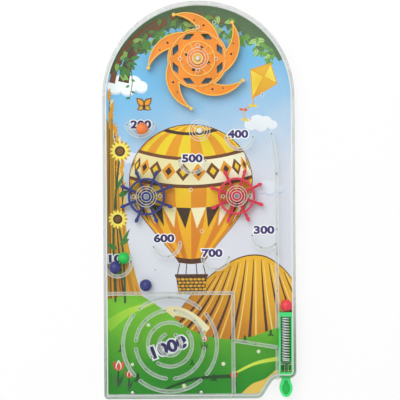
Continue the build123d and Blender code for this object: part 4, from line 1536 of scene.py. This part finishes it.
def buildBall(node, material, slotName, tilt):
    low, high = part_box(node)
    centre = (low + high) / 2 / millimetre
    isSteel = node.startswith("steel")
    radius = ball["steelRadius" if isSteel else "radius"]
    seam = 0.0 if isSteel else ball["seam"]
    rows, columns = ball["rows"], ball["columns"]
    turn = Matrix.Rotation(radians(tilt), 3, "X") @ Matrix.Rotation(radians(tilt * 0.7), 3, "Y")
    points, faces = [Vector((0, 0, -1))], []
    for row in range(1, rows):
        angle = pi * row / rows - pi / 2
        size = 1 - (seam / radius) * (1 - max(0, 1 - abs(angle) / 0.05))
        for column in range(columns):
            x, y = polar((0, 0), cos(angle), 360 * column / columns)
            points.append(Vector((x, y, sin(angle))) * size)
    points.append(Vector((0, 0, 1)))
    for column in range(columns):
        after = (column + 1) % columns
        faces.append((0, 1 + after, 1 + column))
        for row in range(rows - 2):
            base = 1 + row * columns
            above = base + columns
            faces.append((base + column, base + after, above + after, above + column))
        top = 1 + (rows - 2) * columns
        faces.append((top + column, top + after, len(points) - 1))
    points = [centre + turn @ (point * radius) for point in points]
    turned = meshPiece("turned_" + node, points, faces, [material], smoothAngle=70)
    handOver(turned, slotName, node + "_body", node)


bluePlastic = mouldedFinish("blue ball plastic", "#31327E")
steel = grainFinish("bead steel", "#C9C9C6", "#E6E5E1", 0.6, 3.0, 0.16, 0.12, Metallic=1.0)
for node, material, slotName, tilt in (
    ("orange_ball", mouldedFinish("orange ball plastic", "#FF8236"), "orange_ball_plastic", 20),
    ("blue_ball_lower", bluePlastic, "blue_ball_plastic", 50),
    ("green_ball", mouldedFinish("green ball plastic", "#12C24A"), "green_ball_plastic", 75),
    ("red_ball", mouldedFinish("red ball plastic", "#F63B4B"), "red_ball_plastic", 35),
    ("steel_ball_left", steel, "ball_steel", 10),
    ("steel_ball_right", steel, "ball_steel", 60),
    ("blue_ball_free", bluePlastic, "blue_ball_plastic", 15),
):
    buildBall(node, material, slotName, tilt)
print("balls built")


spring = {
    "start": -118.7,
    "end": -86.4,
    "radius": 2.8,
    "wire": 0.4,
    "turns": 17,
    "closedTurns": 1.0,
    "closedPitch": 2.3,
    "z": 6.2,
    "steps": 28,
    "wireSteps": 10,
    "squashed": 0.262,
}


def buildSpring():
    # Helix with close end turns, and a round wire swept along it
    steps, sides, wire = spring["steps"], spring["wireSteps"], spring["wire"]
    total = int(spring["turns"] * steps)
    lowest = spring["start"] + wire
    highest = spring["end"] - wire
    pitch = wire * spring["closedPitch"]
    closedTurns = spring["closedTurns"]
    line = []
    for step in range(total + 1):
        turn = step / steps
        if turn < closedTurns:
            y = lowest + turn * pitch
        elif turn > spring["turns"] - closedTurns:
            y = highest - (spring["turns"] - turn) * pitch
        else:
            share = (turn - closedTurns) / (spring["turns"] - 2 * closedTurns)
            closed = closedTurns * pitch
            y = lowest + closed + share * (highest - lowest - 2 * closed)
        x, z = polar((laneX, spring["z"]), spring["radius"], 360 * turn)
        line.append(Vector((x, y, z)))
    points, faces = [], []
    for place, spot in enumerate(line):
        way = (line[min(place + 1, total)] - line[max(place - 1, 0)]).normalized()
        out = Vector((spot.x - laneX, 0, spot.z - spring["z"])).normalized()
        up = way.cross(out).normalized()
        for side in range(sides):
            angle = 2 * pi * side / sides
            points.append(spot + (out * cos(angle) + up * sin(angle)) * wire)
    for place in range(total):
        for side in range(sides):
            after = (side + 1) % sides
            base, beyond = place * sides, (place + 1) * sides
            faces.append((beyond + side, beyond + after, base + after, base + side))
    faces.append(tuple(range(sides)))
    faces.append(tuple(range(total * sides, total * sides + sides))[::-1])
    return points, faces


springSteel = grainFinish("spring steel", "#E2E2E6", "#FAFAFC", 0.8, 3.0, 0.34, 0.15, Metallic=0.15)
coil = meshPiece("plunger_coil", *buildSpring(), [springSteel], smoothAngle=50)
handOver(coil, "spring_steel", "case", "plunger_spring")
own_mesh(coil)
print("spring built")


# Floor, lights and camera
stageValues = {
    "floorSize": 3.0,
    "floorDrop": 0.1,
    "floorTone": "#F4F4F3",
    "whiteShare": 0.75,
    "worldLevel": 0.74,
    "keyPlace": (-0.5, 0.7, 1.3),
    "keyPower": 12.0,
    "keySize": 1.2,
    "cameraHeight": 1.0,
    "cameraShift": (0.00065, -0.0003),
    "cameraTurn": -0.4,
    "frameWidth": 0.2911,
}
floorFinish = Finish("floor")
rays = [
    floorFinish.node("ShaderNodeLightPath", output=output)
    for output in ("Is Camera Ray", "Is Glossy Ray", "Is Transmission Ray")
]
seen = rays[0]
for ray in rays[1:]:
    seen = seen.maths("MAXIMUM", seen, ray)
floorInk = {"Color": ink(stageValues["floorTone"])}
floorDiffuse = floorFinish.node("ShaderNodeBsdfDiffuse", inputs=floorInk)
glowInputs = {"Color": ink("#FFFFFF"), "Strength": 1.0}
floorGlow = floorFinish.node("ShaderNodeEmission", inputs=glowInputs)
floorShader = floorFinish.mixShader(floorDiffuse, floorGlow, seen * stageValues["whiteShare"])
# Seen from below, the floor gives way to the object's underside
under = floorFinish.node("ShaderNodeBsdfTransparent")
fromBelow = floorFinish.node("ShaderNodeNewGeometry", output="Backfacing")
floorMaterial = floorFinish.show(floorFinish.mixShader(floorShader, under, fromBelow))
half = stageValues["floorSize"] / 2 / millimetre
floorZ = -stageValues["floorDrop"]
corners = [(x * half, y * half, floorZ) for x, y in ((-1, -1), (1, -1), (1, 1), (-1, 1))]
floor = meshPiece("floor", corners, [(0, 1, 2, 3)], [floorMaterial])

world = bpy.data.worlds.new("studio")
world.use_nodes = True
background = world.node_tree.nodes["Background"].inputs
background[0].default_value = (1.0, 1.0, 1.0, 1.0)
background[1].default_value = stageValues["worldLevel"]
bpy.context.scene.world = world

lamp = bpy.data.lights.new("key", "AREA")
lamp.shape = "DISK"
lamp.size = stageValues["keySize"]
lamp.energy = stageValues["keyPower"]
lampHolder = addObject("key", lamp)
lampHolder.location = stageValues["keyPlace"]
lampHolder.rotation_euler = (-Vector(stageValues["keyPlace"])).to_track_quat("-Z", "Y").to_euler()

camera = bpy.data.cameras.new("camera")
camera.sensor_fit = "HORIZONTAL"
camera.angle = 2 * atan(stageValues["frameWidth"] / 2 / stageValues["cameraHeight"])
cameraHolder = addObject("camera", camera)
cameraZ = case["roofTop"] * millimetre + stageValues["cameraHeight"]
cameraHolder.location = (*stageValues["cameraShift"], cameraZ)
cameraHolder.rotation_euler = (0, 0, radians(stageValues["cameraTurn"]))
bpy.context.scene.camera = cameraHolder
bpy.context.scene.view_settings.view_transform = "Standard"
print("stage set")
